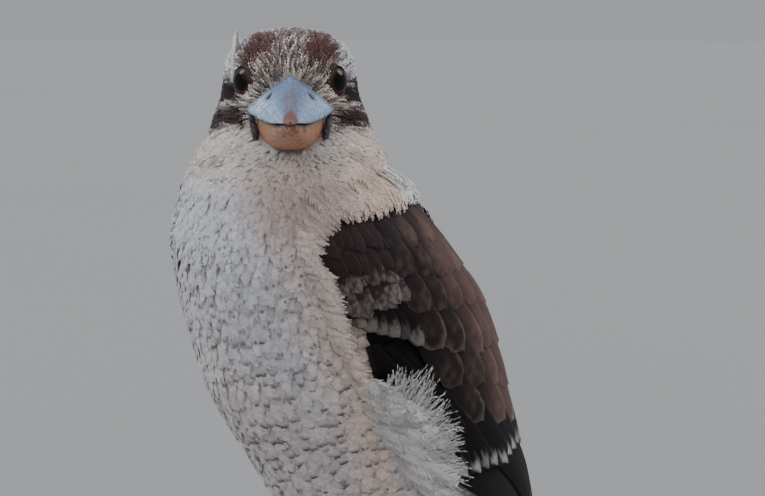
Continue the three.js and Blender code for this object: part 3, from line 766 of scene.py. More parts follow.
def lay_feathers(name, roots, out, laid, width, paint, fan, seed, crown=0.25, fray=0.03):
    """A piece of many feathers. paint(along, across) gives each barb point's colour.

    laid holds their half way points, their ends and the ways out there; width is half of theirs;
    crown is how far their middle stands up and fray how far barbs stray, as shares of it.
    """
    half_way, tips, end_out = laid
    draw = np.random.RandomState(seed)
    count = len(roots)
    start = roots - out * ROOT_DEPTH
    control = 2 * half_way - (start + tips) / 2
    length = np.linalg.norm(tips - start, axis=1)
    fan_along, fan_across, faces = fan
    barbs = len(fan_along) // BARB_POINTS

    def per_barb(spread, *shares):
        """One chance per barb, of which each of its five points takes a share."""
        return (draw.normal(0, spread, (count, barbs, 1)) * np.array(shares)).reshape(count, -1)

    part = (fan_along + per_barb(0.022, 0, 0.4, 0.4, 0, 1.0))[..., None]
    across = fan_across + per_barb(0.035, 0, 0.5, 0.5, 0, 1.6)
    rest = 1 - part
    spine = rest**2 * start[:, None] + 2 * part * rest * control[:, None] + part**2 * tips[:, None]
    heading = unit(rest * (control - start)[:, None] + part * (tips - control)[:, None])
    above = mix(out[:, None], end_out[:, None], np.clip(part, 0, 1))
    beside = unit(np.cross(heading, above))
    above = np.cross(beside, heading)
    roll = draw.normal(0, 0.06, count)[:, None, None]
    flat_side = beside * np.cos(roll) + above * np.sin(roll)
    half = width[:, None, None]
    rise = crown * (1 - across**2) + per_barb(fray, 0, 0.5, 0.5, 0, 1.6)
    points = spine + flat_side * across[..., None] * half + above * rise[..., None] * half
    shading = above + flat_side * (0.35 * np.clip(across, -1, 1))[..., None] + 1.2 * end_out[:, None]
    shading = unit(shading + draw.normal(0, 0.035, shading.shape))
    number = np.broadcast_to(draw.uniform(0, 99, (count, 1)), across.shape)
    lay = np.stack([across * half[..., 0], part[..., 0] * length[:, None], number], -1)
    spread = np.stack([fan_across, 2 * fan_along - 1], -1)
    chart = root_chart(roots)[:, None] + 0.0015 * spread
    all_faces = (faces[None] + (np.arange(count) * len(fan_along))[:, None, None]).reshape(-1, 3)
    tint = np.clip(paint(part[..., 0], across) * (1 + per_barb(0.07, 1, 1, 1, 1, 1))[..., None], 0, 1)
    piece = mesh_piece(
        name,
        points.reshape(-1, 3),
        all_faces,
        tint.reshape(-1, 3),
        lay.reshape(-1, 3),
        chart.reshape(-1, 2),
        shading.reshape(-1, 3),
    )
    piece.data.materials.append(DOWN_FINISH)
    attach(piece, "root")


def shaft_streak(along, across):
    """A dark middle along the shaft that narrows toward the tip."""
    return 1 - 0.85 * smooth(np.abs(across), 0.35, 1.0) * smooth(along, 0.5, 1.0)


def paint_plumes(roots, seed, forms, even=0.06, clump=0, tips=None):
    """Colours for body feathers: the coat's own, with a mark of one of the forms on some of them.

    The first form is for the belly and the second for the breast. clump is the size of the patches in
    which marks gather, and tips are the feathers' ends, where marks lie in wavy rows.
    """
    base, streak, share = markings(roots)
    draw = np.random.RandomState(seed)
    chance = draw.uniform(size=len(roots))
    tone = draw.normal(1, even, len(roots))
    if clump:
        chance = 0.35 * chance + 0.65 * (0.5 + 0.5 * waver(roots, clump, seed))
    depth = draw.uniform(0.55, 1.0, len(roots))
    if tips is not None:
        row_place = tips[:, 2] - 0.30 * tips[:, 0] + 1.7 * waver(tips, 26, 71)
        rows = 0.5 + 0.5 * np.sin(2 * math.pi * row_place / ROW_SPACING)
        broken = smooth(waver(tips, 17, 72), -0.9, 0.5)
        rows = smooth(rows, 0.5, 0.85) * (0.35 + 0.65 * broken) * (1 - smooth(tips[:, 2], 148, 178))
        share = mix(share, 0.06 + 0.9 * rows, 1 - smooth(tips[:, 2], 135, 170))
        tone = tone * (1 - 0.2 * rows)
    marked = chance < share
    strength = np.where(marked, depth, UNMARKED)
    second = smooth(roots[:, 2] + draw.normal(0, 14, len(roots)), 118, 152)[:, None]

    def paint(along, across):
        form = mix(forms[0](along, across), forms[1](along, across), second)
        cover = strength[:, None] * form
        colour = mix(base[:, None], streak[:, None], cover[..., None])
        root_shade = 0.80 + 0.20 * smooth(along, 0.2, 0.75)
        return colour * (tone[:, None] * root_shade)[..., None]

    return paint


def eye_seat(side):
    """The middle of the eyeball that shows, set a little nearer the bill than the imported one."""
    return eye_middle(side) - head_point(0, side * EYE_SHIFT, 0)


def eye_axes(side):
    """The way an eye looks, the way to its front corner and the way up across it."""
    gaze = head_point(math.cos(GAZE_ANGLE), side * math.sin(GAZE_ANGLE), 0.0)
    gaze[2] = 0.02
    gaze = unit(gaze)
    front = unit(np.cross((0, 0, 1.0), gaze)) * -side
    return gaze, front, unit(np.cross(gaze, front)) * -side


def off_gaze(points, high_share=0.0):
    """How far each point lies from the nearer eye's line of sight; high_share adds to it at the brow."""
    nearest = np.full(len(points), 99.0)
    for side in (1, -1):
        gaze, front, up = eye_axes(side)
        away = points - eye_seat(side)
        aside = np.linalg.norm(np.cross(away, gaze), axis=1)
        toward_brow = smooth((away @ up + away @ front) / np.maximum(aside, 0.1), 0.9, 1.35)
        aside = np.where(away @ gaze > 0, aside + high_share * toward_brow, 99)
        nearest = np.minimum(nearest, aside)
    return nearest


def under_bill(points):
    """Where the bill leaves the head, so that no feather grows."""
    ahead, aside, height = head_place(points)
    upper = 14.6 * np.clip((227.2 - height) / 13.2, 0, 1) ** 0.9
    lower = 12.0 * np.clip((height - 200.8) / 4, 0, 1) ** 0.5
    half = np.where(height > 214, upper, lower)
    return (ahead > 6) & (height > 200.8) & (height < 227.2) & (np.abs(aside) < half)


def head_wanted(points):
    """Where feathers grow on the head: above an uneven edge at the neck, but not on bare parts."""
    low_edge = HEAD_FEATHER_FOOT + 2.5 * waver(points, 12, 16)
    return (points[:, 2] > low_edge) & (off_gaze(points) > BARE_RING) & ~under_bill(points)


FACE_FAN = barb_fan(3, 0.11, slim_vane, first=0.05, thick=0.13)
VELVET_FAN = barb_fan(7, 0.20, round_vane, first=0.10, thick=0.50)

head_roots, head_out = scatter(skin_ground, HEAD_SPACING, head_wanted, 11)
head_count = len(head_roots)
draw = np.random.RandomState(12)
from_bill = np.linalg.norm(head_roots - BILL_FOOT, axis=1)
head_ahead = head_place(head_roots)[0]
head_length = mix(4.0, 8.5, smooth(from_bill, 8, 42)) * draw.uniform(0.8, 1.2, head_count)
head_width = mix(0.42, 0.85, smooth(from_bill, 8, 48)) * draw.uniform(0.8, 1.2, head_count)
head_stand = coat_depth(head_roots) * draw.uniform(0.75, 1.08, head_count)
head_swing = draw.normal(0, 0.20, head_count) + 0.2 * waver(head_roots, 14, 9)
head_run = swing_about(lie_of_coat(head_roots, head_out), head_out, head_swing)
for shortening in range(4):
    covers_eye = off_gaze(head_roots + head_run * head_length[:, None], 1.4) < BARE_RING - 0.2
    head_length = np.where(covers_eye, head_length * 0.7, head_length)
low_face = head_roots[:, 2] < LOW_FACE_TOP + 2 * waver(head_roots, 7, 13)
even_stand = coat_depth(head_roots) * draw.uniform(0.92, 1.04, head_count)
head_stand = np.where(low_face, even_stand, head_stand)
for title, chosen, fan, wider in (
    ("face_feathers", (head_ahead > 8) & ~low_face, FACE_FAN, 1.0),
    ("crown_and_nape_feathers", (head_ahead <= 8) & ~low_face, FACE_FAN, 1.15),
    ("chin_and_cheek_feathers", low_face & (head_ahead > -6), VELVET_FAN, 2.1),
    ("nape_foot_feathers", low_face & (head_ahead <= -6), VELVET_FAN, 2.1),
):
    roots, out = head_roots[chosen], head_out[chosen]
    laid = settle(skin_ground, roots, head_run[chosen], head_length[chosen], head_stand[chosen])
    width = wider * head_width[chosen]
    paint = paint_plumes(roots, 14, (shaft_streak, shaft_streak), 0.07, clump=2.8)
    lay_feathers(title, roots, out, laid, width, paint, fan, 15, crown=0.12)


# The body's feathers: broader soft vanes from the neck to the thighs, rooted in the skin in bands and
# shingled down and back. None grow where a wing covers them; faint wavy bars cross the belly.

# level, how far the oval's middle lies back, half width and half depth over the folded wings
WING_SHELL = (
    (30, 82, 32, 57), (54, 67.5, 42.5, 57), (71, 57, 46, 60), (87, 47.5, 48.5, 60),
    (103, 38.5, 51, 61.5), (118, 31, 52.5, 62), (142, 19.5, 53, 60), (162, 8, 51, 52),
    (184, 0, 43.5, 43.5), (200, 0, 37, 37),
)
# level, bearing of the folded wing's front edge and of its rear edge
WING_OUTLINE = (
    (42, 152, 173), (46, 128, 175), (53, 104, 175), (64, 84, 175), (79, 70, 172), (92, 62, 168),
    (114, 60, 160), (134, 56, 152), (152, 55, 146), (164, 53, 142), (174, 66, 138),
)


def dusky_end(along, across):
    """A dark edge across the end of the feather."""
    return smooth(along, 0.84, 0.94) * (1 - 0.5 * smooth(np.abs(across), 0.45, 1.0))


def small_tick(along, across):
    """A small dark mark on the shaft, near the end."""
    return band(along, 0.84, 0.97, 0.03) * (1 - smooth(np.abs(across), 0.10, 0.40))


def wing_bearing(points):
    """The angle round the body at which a point lies on the folded wing's shell."""
    middle, width, depth = station(WING_SHELL, points[:, 2]).T
    return np.degrees(np.arctan2(np.abs(points[:, 0]) / width, (middle - points[:, 1]) / depth))


def under_wing(points, margin):
    """Whether points lie under a folded wing, and further in than the margin in degrees."""
    front, rear = station(WING_OUTLINE, points[:, 2]).T
    bearing = wing_bearing(points)
    inside = (bearing > front + margin) & (bearing < rear - margin)
    return inside & (points[:, 2] > 50) & (points[:, 2] < 170)


BODY_FAN = barb_fan(15, 0.20, round_vane, first=0.12, thick=0.50)
# title, lowest and highest root, spacing, length and half width of the feathers
BODY_BANDS = (
    ("neck_feathers", 168, 197, 1.35, 9.5, 1.8),
    ("breast_feathers", 128, 168, 1.8, 12, 2.4),
    ("belly_feathers", 86, 128, 2.1, 13.5, 2.8),
    ("vent_and_thigh_feathers", 33, 86, 2.1, 12, 2.6),
)
TIP_FROM_ROOT = np.array((0, 2.5, -10))
for title, low, high, spacing, long, half in BODY_BANDS:
    def band_wanted(points):
        """Where this band's feathers grow: between its levels, and where they can be seen."""
        tip_hidden = under_wing(points + TIP_FROM_ROOT, 1.0) & (points[:, 2] > 132)
        hidden = under_wing(points, 4.0) | tip_hidden
        return (points[:, 2] > low) & (points[:, 2] <= high) & ~hidden

    roots, out = scatter(skin_ground, spacing, band_wanted, low)
    draw = np.random.RandomState(high)
    length = long * draw.uniform(0.9, 1.1, len(roots))
    stand = coat_depth(roots) * draw.uniform(0.95, 1.02, len(roots))
    run = swing_about(lie_of_coat(roots, out), out, draw.normal(0, 0.14, len(roots)))
    laid = settle(skin_ground, roots, run, length, stand)
    width = half * draw.uniform(0.85, 1.15, len(roots))
    paint = paint_plumes(roots, low + 1, (dusky_end, small_tick), 0.038, tips=laid[1])
    lay_feathers(title, roots, out, laid, width, paint, BODY_FAN, low + 2, crown=0.09)


# The coat's loose edges: breast and back feathers that lie out over the edges of the wings, white
# plumes and a standing white tuft at each flank, and a white tuft that rises over the right eye.

# rows of root level and bearing, then end level and bearing, on the shell of the folded wing
FRONT_FRINGE = (
    (110, 51, 106, 59.5), (121, 49, 117, 56.5), (137, 46, 133, 53.5), (151, 46, 147, 54),
    (159, 45, 155, 54), (167, 42.5, 163, 50), (175, 44, 169.5, 53.5), (182, 50, 174, 58.5),
    (187, 59, 178, 64), (189, 74, 178.7, 74), (190, 90, 179.3, 90), (191, 108, 181.5, 106),
    (191, 126, 183, 124),
)
BACK_FRINGE = (
    (184, 160, 170, 150), (170, 170, 156, 157), (150, 173, 136, 161), (130, 175, 116, 166),
    (110, 177, 96, 170), (94, 178, 82, 173),
)
FLANK_PLUMES = (
    (118, 52, 113, 60), (113, 51, 108, 66), (107, 51, 100, 70), (101, 52, 92, 72),
    (95, 54, 85, 73), (89, 56, 78, 73), (83, 58, 72, 72), (78, 58, 64, 70),
)
FLANK_TUFT = (
    (103, 54, 116, 61), (101, 58, 119, 69), (97, 60, 114, 77), (91, 61, 103, 80),
    (87, 62, 94, 81), (83, 62, 85, 80), (79, 62, 77, 77), (75, 60, 68, 72),
)
FRINGE_FAN = barb_fan(12, 0.16, slim_vane, first=0.05, thick=0.26)
TUFT_FAN = barb_fan(7, 0.13, slim_vane, first=0.04, thick=0.085)
# title, rows, count, seed, spread of roots and ends, lift off the wing, half width, fan, crown, fray
EDGE_FEATHERS = (
    ("wing_edge_feathers", FRONT_FRINGE, 700, 91, (2.2, 1.6, 1.5, 1.3), (1.0, 2.4), (1.0, 2.0),
     FRINGE_FAN, 0.15, 0.08),
    ("mantle_edge_feathers", BACK_FRINGE, 300, 94, (2.0, 2.0, 2.5, 2.5), (1.6, 3.0), (2.4, 3.4),
     BODY_FAN, 0.25, 0.03),
    ("flank_plumes", FLANK_PLUMES, 190, 87, (4.0, 3.5, 3.5, 3.5), (1.4, 3.4), (1.8, 2.8),
     BODY_FAN, 0.15, 0.12),
    ("flank_tuft", FLANK_TUFT, 330, 97, (4.0, 3.5, 4.4, 3.2), (1.2, 4.0), (0.6, 1.4),
     TUFT_FAN, 0.3, 0.25),
)
RIGHT_WING_TUCK = 3.6
TUFT_WHITE = srgb(228, 224, 224)
BROW_TUFT_COUNT = 80
BROW_TUFT_TIP = head_point(-2, -19.2, 243.8)


def shell_point(height, bearing, lift, side):
    """A point at a level and bearing on the folded wing; side is 1 for the bird's left."""
    middle, width, depth = np.moveaxis(station(WING_SHELL, height), -1, 0)
    angle = np.radians(bearing)
    if side < 0:
        lift = lift - RIGHT_WING_TUCK * (1 - smooth(np.asarray(bearing, float), 58, 95))
    return np.stack(
        [side * (width + lift) * np.sin(angle), middle - (depth + lift) * np.cos(angle), height], -1
    )


def shell_out(height, bearing, side):
    """The way out of the folded wing's shell."""
    low = shell_point(height - 1, bearing, 0, side)
    high = shell_point(height + 1, bearing, 0, side)
    back = shell_point(height, bearing + 1, 0, side)
    front = shell_point(height, bearing - 1, 0, side)
    return unit(np.cross(back - front, high - low)) * side


def laid_over_wing(rows, count, side, seed, loose, lifts):
    """Feathers rooted in the skin beside a wing that lie out over it, between rows of root and end."""
    draw = np.random.RandomState(seed)
    table = np.array(rows, float)
    part = np.linspace(0, len(table) - 1.001, count) + draw.uniform(-0.3, 0.3, count)
    part = np.clip(part, 0, len(table) - 1.001)
    row = np.floor(part).astype(int)
    here = mix(table[row], table[row + 1], (part - row)[:, None])
    here = here + np.clip(draw.normal(0, 1, here.shape), -1.7, 1.7) * np.array(loose)
    root_z, root_a, end_z, end_a = here.T
    roots, out = touch(skin_ground, shell_point(root_z, root_a, -6, side))
    tip_lift = draw.uniform(*lifts, count)
    tips = shell_point(end_z, end_a, tip_lift, side)
    half_way = shell_point((root_z + end_z) / 2, (root_a + end_a) / 2, tip_lift * 0.9, side)
    return roots, out, (half_way, tips, shell_out(end_z, end_a, side))


def paint_white_tuft(seed, count):
    """Colours for white plumes, each of its own brightness, on a foot as warm as the down but in painted
    shade.
    """
    draw = np.random.RandomState(seed)
    tone = draw.uniform(0.58, 1.12, (count, 1, 1))
    white = TUFT_WHITE[None, None] * tone
    # painted shade: the plumes' foot, where they leave the coat, is darker than the down
    foot = mix(PALE_DOWN, WARM_DOWN, 0.5)[None, None] * 0.84

    def paint(along, across):
        return mix(foot, white, smooth(along, 0.15, 0.6)[..., None])

    return paint


draw = np.random.RandomState(17)
tuft_share = draw.uniform(0, 1, BROW_TUFT_COUNT)
tuft_foot = head_point(mix(4, -2, tuft_share), mix(-27, -21, tuft_share), mix(224, 239, tuft_share))
roots, out = touch(skin_ground, tuft_foot)
tuft_tip = BROW_TUFT_TIP + draw.normal(0, 0.22, roots.shape)
tuft_tip = tuft_tip - (tuft_tip - roots) * (0.7 * draw.uniform(0, 1, (BROW_TUFT_COUNT, 1)) ** 1.2)
half_way = (roots + tuft_tip) / 2 + out * 1.3
toward_front = unit(out + head_point(1.2, 0, 0.8))
laid = (half_way, tuft_tip, toward_front)
paint = paint_white_tuft(18, BROW_TUFT_COUNT)
width = draw.uniform(0.7, 1.2, BROW_TUFT_COUNT)
lay_feathers(
    "raised_brow_tuft", roots, toward_front, laid, width, paint, FRINGE_FAN, 19, crown=0.1
)

for side, word in ((1, "left"), (-1, "right")):
    draw = np.random.RandomState(90)
    for title, rows, count, seed, loose, lifts, widths, fan, crown, fray in EDGE_FEATHERS:
        roots, out, laid = laid_over_wing(rows, count, side, seed, loose, lifts)
        width = draw.uniform(*widths, count)
        if title == "wing_edge_feathers":
            width = width * (1 + 0.7 * smooth(roots[:, 2], 182, 190))
        if title == "flank_tuft":
            half_way, tips, end_out = laid
            laid = (half_way + np.array((0, 0, 2.2)), tips, end_out)
        if title.startswith("flank"):
            paint = paint_white_tuft(seed + 1, count)
        else:
            paint = paint_plumes(roots, seed + 1, (dusky_end, small_tick))
        name = f"{title}_{word}"
        lay_feathers(name, roots, out, laid, width, paint, fan, seed + 2, crown, fray)


# The eyes: wet dark balls turned a little toward the camera, with a brown iris that is redder below.
# Each is set behind a wrinkled ring of bare grey lid skin, which is paler under the eye.
EYE_RADIUS = 7.6
EYE_STEPS = 64
PUPIL_ANGLE = 22
IRIS_ANGLE = 50
IRIS_RED = np.array((0.075, 0.012, 0.022))
LID_STEPS = 96
LID_OPENING = 5.8
LID_SKIRT = 6.6
# how far out over the lid, and how far it stands off the ball there
LID_PROFILE = (
    (1.0, -1.6), (0.85, -0.1), (0.65, 0.75), (0.45, 0.75), (0.30, 1.0),
    (0.16, 0.9), (0.05, 0.7), (0.0, 0.35), (0.02, -0.3),
)
LID_DARK = srgb(40, 33, 36)
LID_PALE = srgb(176, 160, 166)


def eye_finish():
    """A glossy ball: black pupil, brown iris and dark rim by the angle from the line of sight."""
    finish = bpy.data.materials.new("wet_eye")
    finish.use_nodes = True
    nodes, links = finish.node_tree.nodes, finish.node_tree.links
    surface = nodes["Principled BSDF"]
    gaze = nodes.new("ShaderNodeAttribute")
    gaze.attribute_name = "lay"
    parts = nodes.new("ShaderNodeSeparateXYZ")
    links.new(gaze.outputs["Vector"], parts.inputs[0])
    rays = nodes.new("ShaderNodeTexNoise")
    rays.inputs["Scale"].default_value = 3.0
    rays.inputs["Detail"].default_value = 4
    links.new(gaze.outputs["Vector"], rays.inputs["Vector"])
    shift = nodes.new("ShaderNodeMath")
    shift.operation = "MULTIPLY_ADD"
    shift.inputs[1].default_value = 0.05
    links.new(rays.outputs["Fac"], shift.inputs[0])
    links.new(parts.outputs["X"], shift.inputs[2])
    ramp = nodes.new("ShaderNodeValToRGB")
    ramp.color_ramp.elements[0].position = PUPIL_ANGLE / 90 + 0.02
    ramp.color_ramp.elements[0].color = (0.0012, 0.0012, 0.0015, 1)
    for position, colour in (
        (PUPIL_ANGLE / 90 + 0.045, (0.020, 0.010, 0.007, 1)),
        (0.42, (0.070, 0.032, 0.020, 1)),
        (IRIS_ANGLE / 90, (0.036, 0.016, 0.012, 1)),
    ):
        stop = ramp.color_ramp.elements.new(position)
        stop.color = colour
    ramp.color_ramp.elements[-1].position = 0.72
    ramp.color_ramp.elements[-1].color = (0.012, 0.008, 0.008, 1)
    links.new(shift.outputs[0], ramp.inputs["Fac"])
    tint = nodes.new("ShaderNodeAttribute")
    tint.attribute_name = "tint"
    with_red = nodes.new("ShaderNodeMix")
    with_red.data_type = "RGBA"
    with_red.blend_type = "ADD"
    with_red.inputs["Factor"].default_value = 1
    links.new(ramp.outputs["Color"], with_red.inputs[6])
    links.new(tint.outputs["Color"], with_red.inputs[7])
    links.new(with_red.outputs[2], surface.inputs["Base Color"])
    surface.inputs["Roughness"].default_value = 0.05
    surface.inputs["Specular IOR Level"].default_value = 0.2
    return finish


WET_EYE = eye_finish()


def horn_finish(name, grain, depth, roughness, bump, coat=0.0):
    """Horn or bare scaly skin: its painted colour with long fine grain and small pits."""
    finish, nodes, links, tint, lay = painted_finish(name)
    surface = nodes["Principled BSDF"]
    stretch = nodes.new("ShaderNodeMapping")
    stretch.inputs["Scale"].default_value = (0.25, 1.6, 1.6)
    links.new(lay.outputs["Vector"], stretch.inputs["Vector"])
    noise = nodes.new("ShaderNodeTexNoise")
    noise.inputs["Scale"].default_value = grain
    noise.inputs["Detail"].default_value = 6
    links.new(stretch.outputs["Vector"], noise.inputs["Vector"])
    value = nodes.new("ShaderNodeMapRange")
    value.inputs["From Min"].default_value = 0.25
    value.inputs["From Max"].default_value = 0.75
    value.inputs["To Min"].default_value = 1 - depth
    value.inputs["To Max"].default_value = 1 + depth
    links.new(noise.outputs["Fac"], value.inputs["Value"])
    pitting = nodes.new("ShaderNodeTexNoise")
    pitting.inputs["Scale"].default_value = grain * 0.9
    pitting.inputs["Detail"].default_value = 8
    pitting.inputs["Roughness"].default_value = 0.7
    links.new(lay.outputs["Vector"], pitting.inputs["Vector"])
    worn = nodes.new("ShaderNodeMapRange")
    worn.inputs["From Min"].default_value = 0.32
    worn.inputs["From Max"].default_value = 0.62
    worn.inputs["To Min"].default_value = 1 - 1.6 * depth
    worn.inputs["To Max"].default_value = 1 + 0.6 * depth
    links.new(pitting.outputs["Fac"], worn.inputs["Value"])
    both = nodes.new("ShaderNodeMath")
    both.operation = "MULTIPLY"
    links.new(value.outputs["Result"], both.inputs[0])
    links.new(worn.outputs["Result"], both.inputs[1])
    tone = nodes.new("ShaderNodeHueSaturation")
    links.new(both.outputs[0], tone.inputs["Value"])
    links.new(tint.outputs["Color"], tone.inputs["Color"])
    links.new(tone.outputs["Color"], surface.inputs["Base Color"])
    rough = nodes.new("ShaderNodeMapRange")
    rough.inputs["To Min"].default_value = roughness - 0.1
    rough.inputs["To Max"].default_value = roughness + 0.12
    links.new(noise.outputs["Fac"], rough.inputs["Value"])
    links.new(rough.outputs["Result"], surface.inputs["Roughness"])
    raised = nodes.new("ShaderNodeBump")
    raised.inputs["Strength"].default_value = bump
    raised.inputs["Distance"].default_value = 0.0003
    links.new(noise.outputs["Fac"], raised.inputs["Height"])
    links.new(raised.outputs["Normal"], surface.inputs["Normal"])
    surface.inputs["Coat Weight"].default_value = coat
    surface.inputs["Coat Roughness"].default_value = 0.35
    return finish


LID_SKIN = horn_finish("eyelid_skin", grain=2.5, depth=0.25, roughness=0.5, bump=0.5)

for side, word in ((1, "left"), (-1, "right")):
    gaze, front, up = eye_axes(side)
    polar = np.radians(np.concatenate([np.linspace(1.2, 60, 40), np.linspace(64, 178, 24)]))[:, None]
    round_eye = round_steps(EYE_STEPS)[None]
    bulge = EYE_RADIUS + 0.35 * (1 - smooth(np.degrees(polar), 25, 52))
    across = (np.cos(round_eye)[..., None] * front + np.sin(round_eye)[..., None] * up) * side
    rings = eye_seat(side) + bulge[..., None] * (
        np.sin(polar)[..., None] * across + np.cos(polar)[..., None] * gaze
    )
    points, faces = closed_loft(rings)
    away = np.concatenate([np.repeat(np.degrees(polar[:, 0]) / 90, EYE_STEPS), [0, 2]])
    turn = np.concatenate([np.tile(round_eye[0], len(polar)), [0, 0]])
    below = -(points - eye_seat(side)) @ up / EYE_RADIUS
    ring = band(away * 90, 27, 56, 4) * smooth(below, 0.15, 0.6)
    red = ring[:, None] * IRIS_RED
    lay = np.stack([away, np.cos(turn) * 2, np.sin(turn) * 2], -1)
    ball = mesh_piece("eyeball_" + word, points, faces, red, lay)
    ball.data.materials.append(WET_EYE)
    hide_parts("eye_" + word)
    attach(ball, "root")

    turns = round_steps(LID_STEPS)
    brow_dip = np.degrees(np.arctan2(np.sin(turns - 1.05), np.cos(turns - 1.05)))
    corner = np.degrees(np.arctan2(np.sin(turns + 0.25), np.cos(turns + 0.25)))
    opening = LID_OPENING - 0.75 * np.exp(-((brow_dip / 38) ** 2)) + 0.35 * np.exp(-((corner / 16) ** 2))
    profile = []
    for share, lift in LID_PROFILE:
        radius = mix(opening, LID_SKIRT, share)
        sunk = np.sqrt(np.maximum(EYE_RADIUS**2 - np.minimum(radius, 7.3) ** 2, 1.0))
        level = sunk + lift
        wrinkle = 0.07 * np.sin(turns * 46) * (share > 0.1)
        profile.append(
            eye_seat(side)
            + (radius[:, None] * (0.90 * np.cos(turns)[:, None] * front + np.sin(turns)[:, None] * up))
            + (level + wrinkle)[:, None] * gaze
        )
    lid_rings = np.array(profile)
    if side < 0:
        lid_rings = lid_rings[::-1]
    points = lid_rings.reshape(-1, 3)
    faces = loft_faces(len(profile), LID_STEPS, closed_ends=False)
    low_rim = smooth(-(points - eye_seat(side)) @ up, 2.5, 5)
    rim = 1 - smooth(np.linalg.norm(np.cross(points - eye_seat(side), gaze), axis=1), 6.0, 6.8)
    colour = mix(LID_DARK, LID_PALE, (low_rim * rim * 0.75)[:, None])
    lids = mesh_piece("eyelids_" + word, points, faces, colour, points * 3)
    lids.data.materials.append(LID_SKIN)
    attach(lids, "root")


# The bill: a broad blue-grey upper horn with a ridge that ends red-brown, over a peach lower horn
# with dark specks. Both are rooted in the face, and dark grey skin folds at their corners.
BILL_ROOT = 8
BILL_TIP = 81
LOWER_TIP = 78.5
GAPE_HEIGHT = 214
MOUTH_GAP = 0.35
LOWER_SHARE = 0.78
FOLD_TOP = (22.5, 14.4, 214.0)
FOLD_FOOT = (21.0, 11.9, 201.0)
# how far ahead, how far the mouth line sags, top, half width and bottom of the bill
BILL_PROFILE = (
    (8, 0, 228, 16.6, 198.5), (20, 0, 226.8, 15.4, 200), (32, 1.6, 224.9, 12.0, 201.6),
    (46, 2.4, 222.6, 8.6, 204), (60, 2.3, 219.8, 5.8, 206.9), (72, 1.6, 216.9, 3.7, 209.4),
    (79, 1.4, 214.8, 1.9, 210.7), (81, 1.8, 213.6, 0.8, 211.3),
)


def bill_half(tip, upper):
    """One half of the bill as rings: how far ahead, aside and how high each of its points lies."""
    steps = np.linspace(0, 1, 84)
    ahead = mix(BILL_ROOT, tip, 1 - (1 - steps) ** 1.35)
    sag, top, half, bottom = (column[:, None] for column in station(BILL_PROFILE, ahead).T)
    turn = np.linspace(0, math.pi, 53)[None]
    back = np.linspace(math.pi, 0, 19)[None, 1:-1]
    mouth = GAPE_HEIGHT - sag
    to_tip = smooth(ahead, 20, 62)[:, None]
    if upper:
        tent = 1 - np.abs(np.cos(turn))
        arch = mix(tent, np.sin(turn), mix(0.22, 0.7, to_tip))
        shell = mouth + MOUTH_GAP / 2 + (top - mouth) * arch
        wide = half * np.cos(turn)
        roof = mouth + MOUTH_GAP / 2 + 0.25 * np.sin(back) * half / 8
    else:
        shell = mouth - MOUTH_GAP / 2 - (mouth - bottom) * np.sin(turn) ** 0.74
        wide = half * LOWER_SHARE * np.sign(np.cos(turn)) * np.abs(np.cos(turn)) ** 0.85
        roof = mouth - MOUTH_GAP / 2 - 0.5 * np.sin(back) * half / 8
    inner = half * (1 if upper else LOWER_SHARE) * np.cos(back) * 0.97
    aside = np.concatenate([wide, inner], 1)
    height = np.concatenate([shell, roof + 0 * back], 1)
    forward = np.broadcast_to(ahead[:, None], aside.shape)
    return forward, aside, height


def nostril(forward, aside, height):
    """How deep in the slit of a nostril each point lies, from 0 to 1."""
    along = (forward - 25.5) * 0.82 + (np.abs(aside) - 8.6) * 0.57
    over = (height - 220.2) + (forward - 25.5) * 0.35
    return np.exp(-((along / 2.5) ** 2) - (over / 0.95) ** 2)


HORN_BLUE = srgb(144, 174, 220)
HORN_PALE = srgb(214, 222, 236)
HORN_GREY = srgb(118, 108, 128)
HORN_TIP = srgb(118, 74, 52)
HORN_EDGE = srgb(34, 29, 31)
HORN_PEACH = srgb(196, 134, 100)
HORN_YELLOW = srgb(166, 156, 124)
HORN_LIT_SIDE = srgb(140, 186, 224)
HORN_PAINTED_SHADE = srgb(90, 106, 146)
HORN_FOOT = srgb(84, 84, 98)
NOSTRIL_SHADE = srgb(12, 10, 12)
SPECK_BROWN = srgb(62, 40, 32)
HOOK_SHADE = srgb(16, 12, 13)
FOLD_DARK = srgb(48, 44, 52)
FOLD_GREY = srgb(118, 112, 120)
BILL_HORN = horn_finish("bill_horn", grain=1.0, depth=0.40, roughness=0.45, bump=0.6, coat=0.1)

forward, aside, height = bill_half(BILL_TIP, True)
pit = nostril(forward, aside, height)
aside = aside - np.sign(aside) * pit * 1.0
height = height - pit * 0.7
points, faces = closed_loft(head_point(forward, aside, height))
flat_ahead, flat_aside, flat_height = head_place(points)
sag_here, top_here = station(BILL_PROFILE, flat_ahead)[:, :2].T
mouth_here = GAPE_HEIGHT - sag_here
rise_here = np.clip((flat_height - mouth_here) / (top_here - mouth_here), 0, 1)
patch = 0.6 * waver(points, 9, 21) + 0.8 * waver(points * (1, 1, 1.6), 3.6, 23)
pale = smooth(0.7 * patch + 0.55 - rise_here, -0.1, 0.8) * 0.9
colour = mix(HORN_BLUE, HORN_PALE, pale[:, None])
bright_side = smooth(flat_aside, 3, 9) * (1 - smooth(rise_here, 0.35, 0.7))
colour = mix(colour, HORN_LIT_SIDE, (0.45 * bright_side)[:, None])
# painted shade: a darker blue over the upper sides of the upper horn
colour = mix(colour, HORN_PAINTED_SHADE, (0.55 * smooth(rise_here, 0.45, 0.8))[:, None])
ridge = smooth(rise_here, 0.72, 0.95) * smooth(flat_ahead, 34, 52)
colour = mix(colour, HORN_GREY, (0.75 * ridge)[:, None])
colour = mix(colour, HORN_TIP, (smooth(flat_ahead + 4 * rise_here, 74, 80) * 0.95)[:, None])
base_line = 1 - smooth(flat_ahead, 19.5, 23)
colour = mix(colour, HORN_FOOT, (0.55 * base_line)[:, None])
edge = 1 - smooth(rise_here + 0.03 * waver(points, 2.6, 22), 0.0, 0.10)
colour = mix(colour, HORN_EDGE, (0.85 * edge)[:, None])
# painted shade: the nostril slits are darkened nearly to black, as the shade inside them
deep = np.concatenate([pit.ravel(), [0, 0]])
